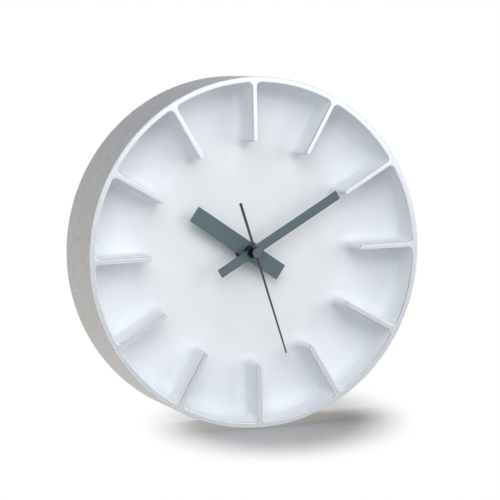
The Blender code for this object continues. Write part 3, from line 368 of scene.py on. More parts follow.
def new_finish(name, base, metallic, roughness, ior=1.45, relief=None, drift=None, spread=None):
    """A material with the shader's own values, and patterns in metres where they are given: a relief as
    (size, detail, depth, strength), a drift of colour as (share, size), a spread of roughness as (low, high, size)."""
    material = bpy.data.materials.new(name)
    material.use_nodes = True
    material.diffuse_color = (*base, 1.0)
    tree = material.node_tree
    inputs = tree.nodes["Principled BSDF"].inputs
    inputs["Base Color"].default_value = (*base, 1.0)
    inputs["Metallic"].default_value = metallic
    inputs["Roughness"].default_value = roughness
    if metallic < 1.0:  # a metal keeps the shader's own IOR
        inputs["IOR"].default_value = ior
    if relief:
        size, detail, depth, strength = relief
        settings = {"Strength": strength, "Distance": depth}
        raised = add_node(tree, "Bump", settings, {"Height": grain(tree, size, detail)})
        drive(tree, "Normal", raised.outputs["Normal"])
    if drift:
        amount, size = drift
        blend = add_node(tree, "ValToRGB", links={"Fac": grain(tree, size, 2.0)})
        for element, position, share in zip(blend.color_ramp.elements, COLOUR_NOISE, (1 - amount, 1 + amount)):
            element.position = position
            element.color = (*(min(1.0, channel * share) for channel in base), 1.0)
        drive(tree, "Base Color", blend.outputs["Color"])
    if spread:
        low, high, size = spread
        settings = {"From Min": ROUGHNESS_NOISE[0], "From Max": ROUGHNESS_NOISE[1], "To Min": low, "To Max": high}
        wander = add_node(tree, "MapRange", settings, {"Value": grain(tree, size, 3.0)})
        drive(tree, "Roughness", wander.outputs["Result"])
    return material


def powder_coated_aluminium(base):
    """Cast aluminium, blasted and powder coated white: matt, with a faint orange peel."""
    # Orange peel is 1 to 2 mm across, and shallow.
    peel = (1.4 * MM, 2.0, 0.03 * MM, 0.5)
    return new_finish("powder_coated_aluminium", base, 0.0, 0.6, 1.5, relief=peel, drift=(0.012, 14 * MM))


def blasted_aluminium(base):
    """Bare cast aluminium, bead blasted: an even grey sheen with fine pits and faint cloudiness."""
    # Beads of about 0.2 mm leave pits that are drawn at 0.5 mm, so that they show.
    pits = (0.5 * MM, 4.0, 0.05 * MM, 0.5)
    cloud, sheen = (0.16, 0.7 * MM), (0.44, 0.58, 3 * MM)
    return new_finish("blasted_aluminium", base, 1.0, 0.5, relief=pits, drift=cloud, spread=sheen)


def machined_aluminium(base):
    """Cast aluminium faced on a lathe: bright satin, with turning marks too fine to show."""
    return new_finish("machined_aluminium", base, 0.85, 0.22)


def cut_aluminium(base):
    """The thin edge where the cutter has broken through the coat: it mirrors the dark screen on the left."""
    return new_finish("cut_aluminium", base, 1.0, 0.26)


def satin_paint(name, base):
    """Stamped aluminium with satin paint: smooth, with a broad soft highlight."""
    return new_finish(name, base, 0.0, 0.42, 1.5, relief=(0.9 * MM, 2.0, 0.01 * MM, 0.4), drift=(0.03, 6 * MM))


def blackened_steel():
    """Turned steel, chemically blackened: dark with a dull metal sheen."""
    return new_finish("blackened_steel", linear("1B1C1E"), 0.6, 0.42, spread=(0.36, 0.5, 0.8 * MM))


def zinc_plated_steel():
    """Pressed steel with bright zinc: cool grey with a slight spangle."""
    spangle, sheen = (0.08, 1.5 * MM), (0.28, 0.42, 1.2 * MM)
    return new_finish("zinc_plated_steel", linear("BDC1C4"), 1.0, 0.34, drift=spangle, spread=sheen)


def turned_brass():
    """Turned brass: yellow, with a sheen that wanders a little."""
    return new_finish("turned_brass", linear("B99A56"), 1.0, 0.32, spread=(0.26, 0.38, 0.6 * MM))


def moulded_plastic(name, base):
    """Moulded ABS: even colour, with the fine spark texture of its tool."""
    sparks = (0.35 * MM, 2.0, 0.02 * MM, 0.5)
    return new_finish(name, base, 0.0, 0.45, 1.54, relief=sparks, spread=(0.4, 0.52, 4 * MM))


def black_abs():
    """The plastic of the movement's housing: near black."""
    return moulded_plastic("black_abs", bpy.context.scene.clock_colours.black_plastic)


def moulded_acetal():
    """Moulded acetal: milky white with a waxy sheen."""
    return new_finish("moulded_acetal", linear("E6E4DC"), 0.0, 0.35, 1.48, drift=(0.02, 2 * MM))


def sheet_rubber():
    """Sheet rubber: black and dull."""
    return new_finish("sheet_rubber", linear("2A2A2A"), 0.0, 0.85, 1.52, relief=(0.4 * MM, 3.0, 0.03 * MM, 0.5))


def enamelled_copper_wire():
    """A winding of enamelled copper wire: warm, with a fine groove between turns."""
    material = new_finish("enamelled_copper_wire", linear("A8642F"), 1.0, 0.35)
    # The wire is 0.03 mm thick; its turns are drawn 1.57 mm apart, so that they show.
    scale = TURN / (WAVE_RATE * 1.57 * MM)
    settings = {"wave_type": "BANDS", "bands_direction": "X", "Scale": scale, "Distortion": 0.4}
    tree = material.node_tree
    place = add_node(tree, "TexCoord")
    turns = add_node(tree, "TexWave", settings, {"Vector": place.outputs["Object"]})
    raised = add_node(tree, "Bump", {"Distance": 0.05 * MM}, {"Height": turns.outputs["Fac"]})
    drive(tree, "Normal", raised.outputs["Normal"])
    return material


def sintered_magnet():
    """Sintered magnet: dark grey and slightly grainy."""
    return new_finish("sintered_magnet", linear("55565A"), 0.5, 0.55, drift=(0.15, 0.4 * MM))


def solder_resist():
    """Circuit board under green resist, with paler copper tracks beneath it."""
    board, track = linear("26543A"), linear("3B7450")
    material = new_finish("solder_resist", board, 0.0, 0.32, 1.5)
    # Tracks run 1.2 mm apart.
    settings = {
        "Scale": 1 / (2.4 * MM), "Color1": (*board, 1.0), "Color2": (*board, 1.0), "Mortar": (*track, 1.0),
        "Mortar Size": 0.09, "Brick Width": 1.0, "Row Height": 0.5,
    }
    tree = material.node_tree
    place = add_node(tree, "TexCoord")
    cells = add_node(tree, "TexBrick", settings, {"Vector": place.outputs["Object"]})
    drive(tree, "Base Color", cells.outputs["Color"])
    return material


def battery_film(base):
    """Printed shrink film: glossy, one colour and without words."""
    return new_finish("battery_film", base, 0.25, 0.22, 1.5, drift=(0.02, 8 * MM))


def shared(maker):
    """A finish that several pieces use, made once. Its material has its maker's name."""
    return bpy.data.materials.get(maker.__name__) or maker()


# The case

TIP_STEPS = 7
FLANK_STEPS = 4
FLARE_STEPS = 6
WALL_STEPS = 8
SIDE_STEPS = 4
CREST_STEPS = 4
DRAFT_STEPS = 4
FILLET_STEPS = 8
RIDGES = 12
CASE_SIDES = 288
HOLE_SIDES = 64
GUARD = 0.15 * MM  # a flat strip beside a rounded edge, which keeps its shading off the flat
COATED, BARE, FACED, CUT = 0, 1, 2, 3
HANGER_SCREWS = ("hanger_screw_1", "hanger_screw_2")


def recess_outline(sizes, wall_r, half, flare):
    """The recess at one depth: a circle with a round-tipped notch left standing at each hour."""
    tip = (0.0, sizes.ridge_tip_r + sizes.ridge_w / 2)
    corner_x = half + flare
    corner = (corner_x, math.sqrt((wall_r - flare) ** 2 - corner_x**2))
    meets_wall = math.atan2(corner[1], corner[0])
    side = arc(tip, half, -QUARTER, 0.0, TIP_STEPS)
    for step in range(1, FLANK_STEPS):
        side.append((half, tip[1] + (corner[1] - tip[1]) * step / FLANK_STEPS))
    side += arc(corner, flare, math.pi, meets_wall, FLARE_STEPS)
    side += arc((0.0, 0.0), wall_r, meets_wall, QUARTER - math.pi / RIDGES, WALL_STEPS)[1:]
    sector = [(-u, v) for u, v in reversed(side)] + side[1:-1]
    outline = []
    for hour in range(RIDGES):
        c, s = math.cos(TURN * hour / RIDGES), math.sin(TURN * hour / RIDGES)
        outline += [(u * c + v * s, v * c - u * s) for u, v in sector]
    return outline


def fillet_spread(depth, floor, r):
    """How far a fillet of radius r has spread at a depth, on its way down to a floor."""
    below = depth - (floor - r)
    return r - math.sqrt(max(0.0, r * r - below * below)) if below > 0 else 0.0


def recess_rings(mesh, sizes):
    """Rings from the flat of the rim and crests, down the walls and ridge sides, to the dial."""
    wall, half, edge = sizes.rim_r - sizes.wall, sizes.ridge_w / 2, sizes.crest_round
    flat = recess_outline(sizes, wall + edge + GUARD, half - edge - GUARD, sizes.crest_flare + edge)
    rings = [ring(mesh, flat, 0.0)]
    for inset, down in rounding(CREST_STEPS):
        grow = edge * inset
        outline = recess_outline(sizes, wall + grow, half - grow, sizes.crest_flare + grow)
        rings.append(ring(mesh, outline, edge * down))
    skin(mesh, rings[:2], FACED)
    skin(mesh, rings[1:], CUT)
    face, rings = rings[0], rings[-1:]
    foot = sizes.recess - sizes.recess_fillet
    levels = [edge + (foot - edge) * i / DRAFT_STEPS for i in range(1, DRAFT_STEPS + 1)]
    levels += [foot + sizes.recess_fillet * math.sin(QUARTER * i / FILLET_STEPS) for i in range(1, FILLET_STEPS + 1)]
    for depth in levels:
        share = min(1.0, depth / foot)
        outline = recess_outline(
            sizes,
            wall - sizes.recess_taper * share - fillet_spread(depth, sizes.recess, sizes.recess_fillet),
            half + sizes.ridge_lean * share + fillet_spread(depth, sizes.recess, sizes.ridge_fillet),
            sizes.crest_flare + (sizes.foot_flare - sizes.crest_flare) * share,
        )
        rings.append(ring(mesh, outline, depth))
    grow = sizes.ridge_lean + sizes.ridge_fillet + 4 * GUARD
    shrink = sizes.recess_taper + sizes.recess_fillet + 4 * GUARD
    rings.append(ring(mesh, recess_outline(sizes, wall - shrink, half + grow, sizes.foot_flare), sizes.recess))
    skin(mesh, rings, COATED)
    return face, rings[-1]


def side_profile(sizes):
    """From the rim's outer rounding, down the side and round the back edge, to the dial's back."""
    back_edge, fillet = 0.4 * MM, 2.0 * MM
    back_r = sizes.rim_r - sizes.side_taper
    inner = back_r - sizes.wall
    foot = inner - sizes.recess_taper
    dial_back = sizes.recess + sizes.dial_t
    profile = [(sizes.rim_r, sizes.rim_round + GUARD)]
    for share in (i / SIDE_STEPS for i in range(1, SIDE_STEPS)):
        profile.append((sizes.rim_r - sizes.side_taper * share, sizes.case_depth * share))
    profile += arc((back_r - back_edge, sizes.case_depth - back_edge), back_edge, 0.0, QUARTER, 3)
    profile += arc((inner + back_edge, sizes.case_depth - back_edge), back_edge, QUARTER, math.pi, 3)
    profile += arc((foot - fillet, dial_back + fillet), fillet, 0.0, -QUARTER, 5)
    profile.append((foot - fillet - GUARD, dial_back))
    return profile


def boss(mesh, node, plate):
    """A boss behind the dial for a hanger screw, with a fillet and a blind hole, open where it meets the dial."""
    r, bore_r, gap = 4.0 * MM, 1.7 * MM, 0.3 * MM
    fillet, edge = 1.0 * MM, 0.25 * MM
    top, bore_bottom = depths("hanger_plate")[0] - gap, depths(node)[0] - gap
    profile = [(r + fillet + GUARD, plate)]
    profile += arc((r + fillet, plate + fillet), fillet, -QUARTER, -math.pi, 4)
    profile += arc((r - edge, top - edge), edge, 0.0, QUARTER, 2)
    profile += [(bore_r + edge, top), (bore_r, top - edge), (bore_r, bore_bottom), (0.0, bore_bottom)]
    return lathe(mesh, profile, HOLE_SIDES, middle(node), BARE)[0]


class CLOCK_OT_case(bpy.types.Operator):
    """Cast the case: drum, dial and hour ridges in one piece, white in front and bare round the side"""

    bl_idname = "clock.case"
    bl_label = "Case"
    bl_options = {"REGISTER", "UNDO"}

    def execute(self, context):
        sizes = context.scene.clock_case
        colours = context.scene.clock_colours
        mesh = bmesh.new()
        face, dial = recess_rings(mesh, sizes)
        flat_r = sizes.rim_r - sizes.rim_round
        rim = [(flat_r - GUARD, 0.0), *arc((flat_r, sizes.rim_round), sizes.rim_round, -QUARTER, 0.0, 5)]
        rings = [ring(mesh, circle(r, CASE_SIDES), depth) for r, depth in rim + side_profile(sizes)]
        skin(mesh, rings[:2], FACED)
        skin(mesh, rings[1:len(rim)], COATED)
        skin(mesh, rings[len(rim) - 1:], BARE)
        fill(mesh, [rings[0], face], FACED)
        dial_back = sizes.recess + sizes.dial_t
        edge = 0.2 * MM
        inner, outer = sizes.hole_r, sizes.hole_r + edge
        profile = [(outer, sizes.recess), (inner, sizes.recess + edge), (inner, dial_back - edge), (outer, dial_back)]
        hole = lathe(mesh, profile, HOLE_SIDES, slot=COATED)
        fill(mesh, [dial, hole[0]], COATED)
        bosses = [boss(mesh, node, dial_back) for node in HANGER_SCREWS]
        fill(mesh, [rings[-1], hole[-1], *bosses], BARE)
        finishes = [
            powder_coated_aluminium(colours.coat),
            blasted_aluminium(colours.casting),
            machined_aluminium(colours.faced),
            cut_aluminium(colours.cut),
        ]
        piece("clock_case", mesh, finishes, "case", ["case"])
        return {"FINISHED"}


# The hands

BORE_SIDES = 48


def hand(name, loops, bore, blade_t, paint, turn, blade_front=None):
    """A blade, at the front unless its depth is given, and the tube that holds it on its arbor."""
    edge, wall, wall_edge = 0.08 * MM, 0.6 * MM, 0.1 * MM
    front, back = depths(name)
    collet_front = front if blade_front else front + blade_t / 2
    blade_front = blade_front or front
    mesh = bmesh.new()
    slab(mesh, loops, blade_front, blade_front + blade_t, edge)
    washer(mesh, bore, bore + wall, collet_front, back, wall_edge)
    piece(f"{name}_blade", mesh, [paint], name, [name], turn=turn)


class CLOCK_OT_hands(bpy.types.Operator):
    """Make the hour, minute and second hands, with the nut and the cap that hold them"""

    bl_idname = "clock.hands"
    bl_label = "Hands"
    bl_options = {"REGISTER", "UNDO"}

    def hour_outline(self, sizes):
        """A bar with its round boss swelling on each side."""
        half = sizes.hour_w / 2
        swell = math.acos(half / sizes.hour_boss_r)
        right = arc((0.0, 0.0), sizes.hour_boss_r, -swell, swell, 12)
        left = [(-x, -z) for x, z in right]
        low, high = -sizes.hour_tail, sizes.hour_tip
        ends = softened([(half, high), (-half, high), (-half, low), (half, low)], 0.25 * MM)
        each = len(ends) // 2
        return right + ends[:each] + left + ends[each:]

    def execute(self, context):
        sizes = context.scene.clock_hands
        colours = context.scene.clock_colours
        slate = satin_paint("slate_painted_aluminium", colours.slate)
        charcoal = satin_paint("charcoal_painted_aluminium", colours.charcoal)

        bore, blade_t = 2.85 * MM, 0.6 * MM
        loops = [self.hour_outline(sizes), circle(bore, BORE_SIDES)]
        hand("hour_hand", loops, bore, blade_t, slate, sizes.hour_angle)

        bore, blade_t = 1.85 * MM, 0.5 * MM
        half = sizes.minute_w / 2
        outline = soft_box(-half, half, -sizes.minute_tail, sizes.minute_tip, 0.2 * MM)
        hand("minute_hand", [outline, circle(bore, BORE_SIDES)], bore, blade_t, slate, sizes.minute_angle)
        steel = shared(blackened_steel)
        washer_piece("minute_hand_ring_nut", "minute_hand_nut", bore, 0.15 * MM, steel, "minute_hand")

        bore, blade_t, blade_front = 0.8 * MM, 0.4 * MM, 2.9 * MM
        tail, tip = sizes.second_tail_w / 2, sizes.second_tip_w / 2
        low, high = -sizes.second_tail, sizes.second_tip
        outline = softened([(-tail, low), (tail, low), (tip, high), (-tip, high)], 0.15 * MM)
        hand("second_hand", [outline], bore, blade_t, charcoal, sizes.second_angle, blade_front)

        front, back = depths("second_hand_cap")
        cap_r, rim, stem_r = radius("second_hand_cap"), 0.18 * MM, 0.5 * MM
        disc_back = front + 1.0 * MM
        profile = [(0.0, front), (cap_r - 2 * rim, front)]
        profile += arc((cap_r - rim, front + rim), rim, -QUARTER, 0.0, 4)
        profile += [(cap_r, disc_back - rim / 2), (cap_r - rim / 2, disc_back), (stem_r, disc_back)]
        profile += [(stem_r, back), (0.0, back)]
        mesh = bmesh.new()
        lathe(mesh, profile)
        piece("second_hand_button", mesh, [slate], "second_hand", ["second_hand_cap"], turn=sizes.second_angle)
        return {"FINISHED"}


# What clamps the movement to the dial

BUSH_R = 3.9 * MM  # of the threaded bush, and of the rings and the hole that it passes through


class CLOCK_OT_fixings(bpy.types.Operator):
    """Make the washer, ring nut and gasket at the middle of the dial"""

    bl_idname = "clock.fixings"
    bl_label = "Dial fixings"
    bl_options = {"REGISTER", "UNDO"}

    def execute(self, context):
        steel = shared(blackened_steel)
        washer_piece("dial_ring_washer", "dial_washer", BUSH_R, 0.1 * MM, steel, "case")

        crest_r = radius("fixing_nut")
        grooves, groove_r = 18, crest_r - 0.2 * MM
        knurl = []
        for i in range(grooves):
            for share, r in ((0.0, crest_r), (0.5, crest_r), (0.6, groove_r), (0.9, groove_r)):
                a = TURN * (i + share) / grooves
                knurl.append((r * math.cos(a), r * math.sin(a)))
        mesh = bmesh.new()
        slab(mesh, [knurl, circle(BUSH_R, 72)], *depths("fixing_nut"), 0.12 * MM)
        piece("dial_ring_nut", mesh, [steel], "case", ["fixing_nut"])

        washer_piece("dial_rubber_ring", "dial_gasket", BUSH_R, 0.1 * MM, sheet_rubber(), "case", 96)
        return {"FINISHED"}


# The hanger

SCREW_SIDES = 36


def cross_outline(reach, half):
    """The outline of a cross recess."""
    points = []
    for c, s in ((1, 0), (0, 1), (-1, 0), (0, -1)):
        for u, v in ((reach, -half), (reach, half), (half, half)):
            points.append((u * c - v * s, u * s + v * c))
    return points


def screw_mesh(node):
    """A pan-head screw with a cross recess and a thread, from its CAD node's size."""
    front, back = depths(node)
    head_r = radius(node)
    head_t, edge = head_r * 0.45, head_r * 0.22
    shank, thread, pitch = head_r * 0.5, head_r * 0.15, head_r * 0.32
    root = shank - thread
    neck = back - head_t
    mesh = bmesh.new()
    top = ring(mesh, circle(head_r - 2 * edge, SCREW_SIDES), back)
    profile = arc((head_r - edge, back - edge), edge, QUARTER, 0.0, 4) + [(head_r, neck)]
    for i in range(int((neck - front) / pitch) - 1):
        at = neck - pitch * i
        profile += [(root, at), (root, at - pitch * 0.5), (shank, at - pitch * 0.75)]
    profile += [(root, front + pitch), (shank * 0.3, front), (0.0, front)]
    rings = lathe(mesh, profile, SCREW_SIDES)
    skin(mesh, [top, rings[0]])
    mouth_reach, mouth_half, floor_reach, floor_half = (head_r * share for share in (0.55, 0.11, 0.32, 0.07))
    cross_t = head_t * 0.6
    mouth = ring(mesh, cross_outline(mouth_reach, mouth_half), back)
    floor = ring(mesh, cross_outline(floor_reach, floor_half), back - cross_t)
    skin(mesh, [mouth, floor])
    fill(mesh, [top, mouth])
    fill(mesh, [floor])
    return mesh


def screw_pieces(name, nodes, twist):
    """A screw for each node, each turned further than the last by a twist."""
    steel = shared(zinc_plated_steel)
    for number, node in enumerate(nodes, 1):
        piece(f"{name}_{number}", screw_mesh(node), [steel], "case", [node], middle(node), twist * number)


class CLOCK_OT_hanger(bpy.types.Operator):
    """Make the steel plate with the keyhole, and its two screws"""

    bl_idname = "clock.hanger"
    bl_label = "Hanger"
    bl_options = {"REGISTER", "UNDO"}

    def execute(self, context):
        x, z = middle("hanger_plate")
        big_r, slot_r, slot_up = 4.5 * MM, 2.2 * MM, 7.0 * MM
        corner, screw_r = 3.0 * MM, 1.7 * MM
        outline = soft_box(*span("hanger_plate"), corner, 6)
        low_z = z - slot_up / 2
        opening = math.asin(slot_r / big_r)
        keyhole = arc((x, low_z), big_r, QUARTER + opening, QUARTER + TURN - opening, 28)
        keyhole += arc((x, low_z + slot_up), slot_r, 0.0, math.pi, 12)
        screw_holes = [circle(screw_r, 32, middle(node)) for node in HANGER_SCREWS]
        mesh = bmesh.new()
        slab(mesh, [outline, keyhole, *screw_holes], *depths("hanger_plate"), 0.15 * MM)
        piece("keyhole_plate", mesh, [shared(zinc_plated_steel)], "case", ["hanger_plate"])
        screw_pieces("keyhole_plate_screw", HANGER_SCREWS, 0.3)
        return {"FINISHED"}


# The movement

COVER_SCREWS = tuple(f"cover_screw_{number}" for number in range(1, 5))
LIP = 0.2 * MM  # the bevel round an opening at the back of the housing


def pocket(mesh, outline, floor, back, edge):
    """A hollow that opens to the back. Returns the loop at its mouth."""
    levels = [(-LIP, back), (0.0, back - LIP)]
    levels += [(edge * down, floor + edge * inset) for inset, down in rounding(3)]
    rings = stack(mesh, outline, levels)
    skin(mesh, rings)
    fill(mesh, [rings[-1]])
    return rings[0]


class CLOCK_OT_housing(bpy.types.Operator):
    """Mould the movement's housing, with the open battery bay, and its cover and screws"""

    bl_idname = "clock.housing"
    bl_label = "Movement housing"
    bl_options = {"REGISTER", "UNDO"}

    def execute(self, context):
        left, right, bottom, top = span("movement_housing")
        front, back = depths("movement_housing")
        cover = span("movement_cover")
        wall, play, edge, corner = 1.1 * MM, 0.3 * MM, 0.5 * MM, 0.8 * MM
        room_floor_t, bay_floor_t = 1.5 * MM, 0.8 * MM
        room_bottom, room_top = cover[2] - play, cover[3] + play
        mesh = bmesh.new()
        levels = [(edge * inset, front + edge * down) for inset, down in rounding(3)]
        levels += [(0.0, back - LIP), (LIP, back)]
        rings = stack(mesh, soft_box(left, right, bottom, top, 2 * corner, 5), levels)
        skin(mesh, rings)
        bush_hole = lathe(mesh, [(BUSH_R, front), (BUSH_R, front + room_floor_t)], BORE_SIDES)
        fill(mesh, [rings[0], bush_hole[0]])
        room = soft_box(left + wall, right - wall, room_bottom, room_top, corner)
        bay = soft_box(left + wall, right - wall, bottom + wall, room_bottom - wall, corner)
        room_floor = ring(mesh, room, front + room_floor_t)
        room_mouth = ring(mesh, room, back)
        skin(mesh, [room_floor, room_mouth])
        fill(mesh, [room_floor, bush_hole[-1]])
        bay_mouth = pocket(mesh, bay, front + bay_floor_t, back, edge)
        fill(mesh, [rings[-1], room_mouth, bay_mouth])
        piece("movement_tray", mesh, [shared(black_abs)], "case", ["movement_housing"])

        grey = moulded_plastic("grey_abs", context.scene.clock_colours.grey_plastic)
        outline = soft_box(*cover, 0.7 * MM)
        screw_r, arbor_r = 1.1 * MM, 1.05 * MM
        holes = [circle(screw_r, 24, middle(node)) for node in COVER_SCREWS]
        holes.append(circle(arbor_r, 24, middle("set_knob")))
        mesh = bmesh.new()
        slab(mesh, [outline, *holes], *depths("movement_cover"), 0.2 * MM)
        piece("movement_lid", mesh, [grey], "case", ["movement_cover"])
        screw_pieces("movement_lid_screw", COVER_SCREWS, 0.7)
        return {"FINISHED"}


class CLOCK_OT_knob(bpy.types.Operator):
    """Mould the fluted knob that sets the hands"""

    bl_idname = "clock.knob"
    bl_label = "Setting knob"
    bl_options = {"REGISTER", "UNDO"}

    def execute(self, context):
        knob_r = radius("set_knob")
        front, back = depths("set_knob")
        flutes, sink, sides = 18, 0.35 * MM, 8
        outline = []
        for i in range(flutes * sides):
            a = TURN * i / (flutes * sides)
            r = knob_r - sink * (1 - math.cos(a * flutes)) / 2
            outline.append((r * math.cos(a), r * math.sin(a)))
        mesh = bmesh.new()
        rings = stack(mesh, outline, rounded_levels(front, back, 0.2 * MM))
        skin(mesh, rings)
        dish = [(0.72, 0.0), (0.68, 0.12), (0.3, 0.25), (0.0, 0.28)]  # share of the radius, and depth in millimetres
        dish = lathe(mesh, [(knob_r * share, back - depth * MM) for share, depth in dish], 72)
        fill(mesh, [rings[-1], dish[0]])
        socket_r, socket_end = 1.0 * MM, back - 0.5 * MM
        socket = lathe(mesh, [(socket_r, front), (socket_r, socket_end), (0.0, socket_end)], 32)
        fill(mesh, [rings[0], socket[0]])
        piece("hand_setting_knob", mesh, [shared(moulded_acetal)], "setting_arbor", ["set_knob"], middle("set_knob"))
        return {"FINISHED"}


class CLOCK_OT_battery(bpy.types.Operator):
    """Make the AA battery: steel can, printed film and button"""

    bl_idname = "clock.battery"
    bl_label = "Battery"
    bl_options = {"REGISTER", "UNDO"}

    def execute(self, context):
        left, right, bottom, top = span("battery")
        front, back = depths("battery")
        can_r, long = (top - bottom) / 2, right - left
        film, band, can = 0, 1, 2
        button_r, button_t, curl, film_t = 2.75 * MM, 1.1 * MM, 0.6 * MM, 0.12 * MM
        shoulder = long - button_t
        band_start = shoulder - 13.0 * MM
        mouth_r, lip_r = can_r - 1.6 * MM, can_r - 1.5 * MM
        jacket = [(mouth_r, film_t), (lip_r, 0.0)]
        jacket += arc((can_r - curl, curl), curl, -QUARTER, 0.0, 4)
        jacket.append((can_r, band_start))
        gold = [jacket[-1], *arc((can_r - curl, shoulder - curl), curl, 0.0, QUARTER, 4)]
        gold += [(lip_r, shoulder), (mouth_r, shoulder - film_t)]
        plus = [gold[-1], (button_r + 0.5 * MM, shoulder - film_t), (button_r, shoulder + 0.05 * MM)]
        plus += [(button_r, long - 0.25 * MM), (button_r - 0.25 * MM, long), (0.0, long)]
        minus = [(0.0, 0.0), (can_r - 2.6 * MM, 0.0), (can_r - 2.4 * MM, 0.15 * MM), jacket[0]]
        mesh = bmesh.new()
        for profile, slot in ((minus, can), (jacket, film), (gold, band), (plus, can)):
            lathe(mesh, profile, slot=slot)
        bmesh.ops.rotate(mesh, verts=mesh.verts, cent=(0, 0, 0), matrix=Matrix.Rotation(-QUARTER, 3, "Z"))
        bmesh.ops.translate(mesh, verts=mesh.verts, vec=(left, (front + back) / 2, (bottom + top) / 2))
        finishes = [
            battery_film(context.scene.clock_colours.jacket),
            satin_paint("battery_band", linear("D8D5CC")),
            shared(zinc_plated_steel),
        ]
        piece("aa_cell", mesh, finishes, "battery", ["battery"])
        return {"FINISHED"}


WORKS = (
    (zinc_plated_steel, (
        "stator", "coil_core", "quartz_crystal", "positive_contact", "negative_contact",
        "bridge_screw_1", "bridge_screw_2", "coil_screw_1", "coil_screw_2",
    )),
    (turned_brass, ("train_bridge", "threaded_bush")),
    (blackened_steel, ("cannon_pinion",)),
    (black_abs, ("coil_bobbin", "driver_chip", "hour_wheel")),
    (moulded_acetal, (
        "minute_wheel", "centre_wheel", "third_wheel", "second_wheel", "intermediate_wheel", "rotor_pinion",
    )),
    (sintered_magnet, ("rotor_magnet",)),
    (enamelled_copper_wire, ("coil_winding",)),
    (solder_resist, ("circuit_board",)),
)


class CLOCK_OT_works(bpy.types.Operator):
    """Finish the wheels, motor, board, contacts and bush, which keep their shape"""

    bl_idname = "clock.works"
    bl_label = "Works"
    bl_options = {"REGISTER", "UNDO"}

    def execute(self, context):
        for maker, nodes in WORKS:
            for node in nodes:
                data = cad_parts[node].data
                data.materials.clear()
                data.materials.append(shared(maker))
        return {"FINISHED"}


# The stage

CAMERA_AZIMUTH = math.radians(-21.62)
CAMERA_ELEVATION = math.radians(5.68)
CAMERA_ROLL = math.radians(-1.06)
CAMERA_DISTANCE = 1.305
CAMERA_LENS = 187.3
CAMERA_SHIFT = (-0.0158, 0.0066)
WORLD_LIGHT = 0.125  # the even light that falls on the clock from all sides
WHITE = "FFFFFF"
CEILING = "C4CDDE"  # the studio above its white sides, which only gloss sees
CEILING_RISE = (0.15, 0.75)  # the upward parts of the directions where its tone starts and is full
SCREEN_AZIMUTH = math.radians(-68)  # a dark screen on the clock's left, which only gloss sees
SCREEN_EDGE = (0.5, 0.75)  # the cosines of the angles from its middle where it starts and is full
SCREEN_TONE = 0.2
LAMP_DISTANCE = 1.7
CLOCK_LAMPS = (  # name, azimuth and elevation in degrees, size in metres, power in watts, seen in gloss
    ("key", 48.0, 17.0, 1.3, 6.3, False),
    ("sheen", 34.0, 5.0, 1.3, 6.6, True),
    ("fill", -26.0, 12.0, 1.3, 7.6, False),
    ("upper", -15.0, 40.0, 1.3, 14.4, False),
    ("back", 170.0, 25.0, 1.3, 9.0, False),
)
# This lamp lights the floor alone and is kept dim, so that inside the oval of painted shade the open floor stays below
# white.
FLOOR_LAMP = ("paper", -134.0, 43.0, 2.67, 42.0, False)
FLOOR_LIFT = 0.03  # a faint glow, so that the shadow isn't black
FLOOR_TONE, FLOOR_BOUNCE = 0.85, 0.65  # what the paper shows, and what it throws up at the clock
FLOOR_SIZE, FLOOR_SIDES = 6.0, 48
# Painted shade: inside an oval round the clock the camera sees the floor's dim shading under its own lamp, darker than
# white even where nothing casts a shadow. The clock's real shadow falls inside it, and the oval fades to plain white.
PAINTED_SHADE_MIDDLE = (0.017, 0.001, 0.0)
PAINTED_SHADE_REACH = (0.073, 0.134, 1.0)  # how far the oval of painted shade reaches, across the picture and towards the camera; beyond it the floor is plain white
PAINTED_SHADE_FADE = 0.48  # the share of that reach where the painted shade starts fading to white


def direction(azimuth, elevation):
    """A unit vector: an azimuth of 0 is in front of the dial and 90 degrees is on its right."""
    flat = math.cos(elevation)
    return Vector((math.sin(azimuth) * flat, -math.cos(azimuth) * flat, math.sin(elevation)))


def background_ray(tree):
    """1 for a camera, glossy or transmission ray, and 0 for the light that falls on the object."""
    path = add_node(tree, "LightPath")
    both = {"operation": "ADD", "use_clamp": True}
    mirror = add_node(tree, "Math", both, {0: path.outputs["Is Camera Ray"], 1: path.outputs["Is Glossy Ray"]})
    links = {0: mirror.outputs["Value"], 1: path.outputs["Is Transmission Ray"]}
    return add_node(tree, "Math", both, links).outputs["Value"]


def studio_white():
    """A world that is white behind the object, darker at the ceiling, and lights it softly."""
    world = bpy.data.worlds.new("studio_white")
    bpy.context.scene.world = world
    world.use_nodes = True
    tree = world.node_tree
    tree.nodes.clear()
    white = (*linear(WHITE), 1.0)
    way = add_node(tree, "TexCoord").outputs["Generated"]
    height = add_node(tree, "SeparateXYZ", links={"Vector": way})
    shade = add_node(tree, "ValToRGB", links={"Fac": height.outputs["Z"]})
    for element, rise, tone in zip(shade.color_ramp.elements, CEILING_RISE, (WHITE, CEILING)):
        element.position = rise
        element.color = (*linear(tone), 1.0)
    settings = {"operation": "DOT_PRODUCT", 1: direction(SCREEN_AZIMUTH, 0.0)}
    facing = add_node(tree, "VectorMath", settings, {0: way})
    settings = {"From Min": SCREEN_EDGE[0], "From Max": SCREEN_EDGE[1], "To Min": 1.0, "To Max": SCREEN_TONE}
    screen = add_node(tree, "MapRange", settings, {"Value": facing.outputs["Value"]})
    links = {"Color": shade.outputs["Color"], "Strength": screen.outputs["Result"]}
    mirrored = add_node(tree, "Background", links=links)
    plain = add_node(tree, "Background", {"Color": white, "Strength": 1.0})
    light = add_node(tree, "Background", {"Color": white, "Strength": WORLD_LIGHT})
    path = add_node(tree, "LightPath")
    links = {0: path.outputs["Is Camera Ray"], 1: mirrored.outputs["Background"], 2: plain.outputs["Background"]}
    seen = add_node(tree, "MixShader", links=links)
    links = {0: background_ray(tree), 1: light.outputs["Background"], 2: seen.outputs["Shader"]}
    surface = add_node(tree, "MixShader", links=links)
    add_node(tree, "OutputWorld", links={"Surface": surface.outputs["Shader"]})


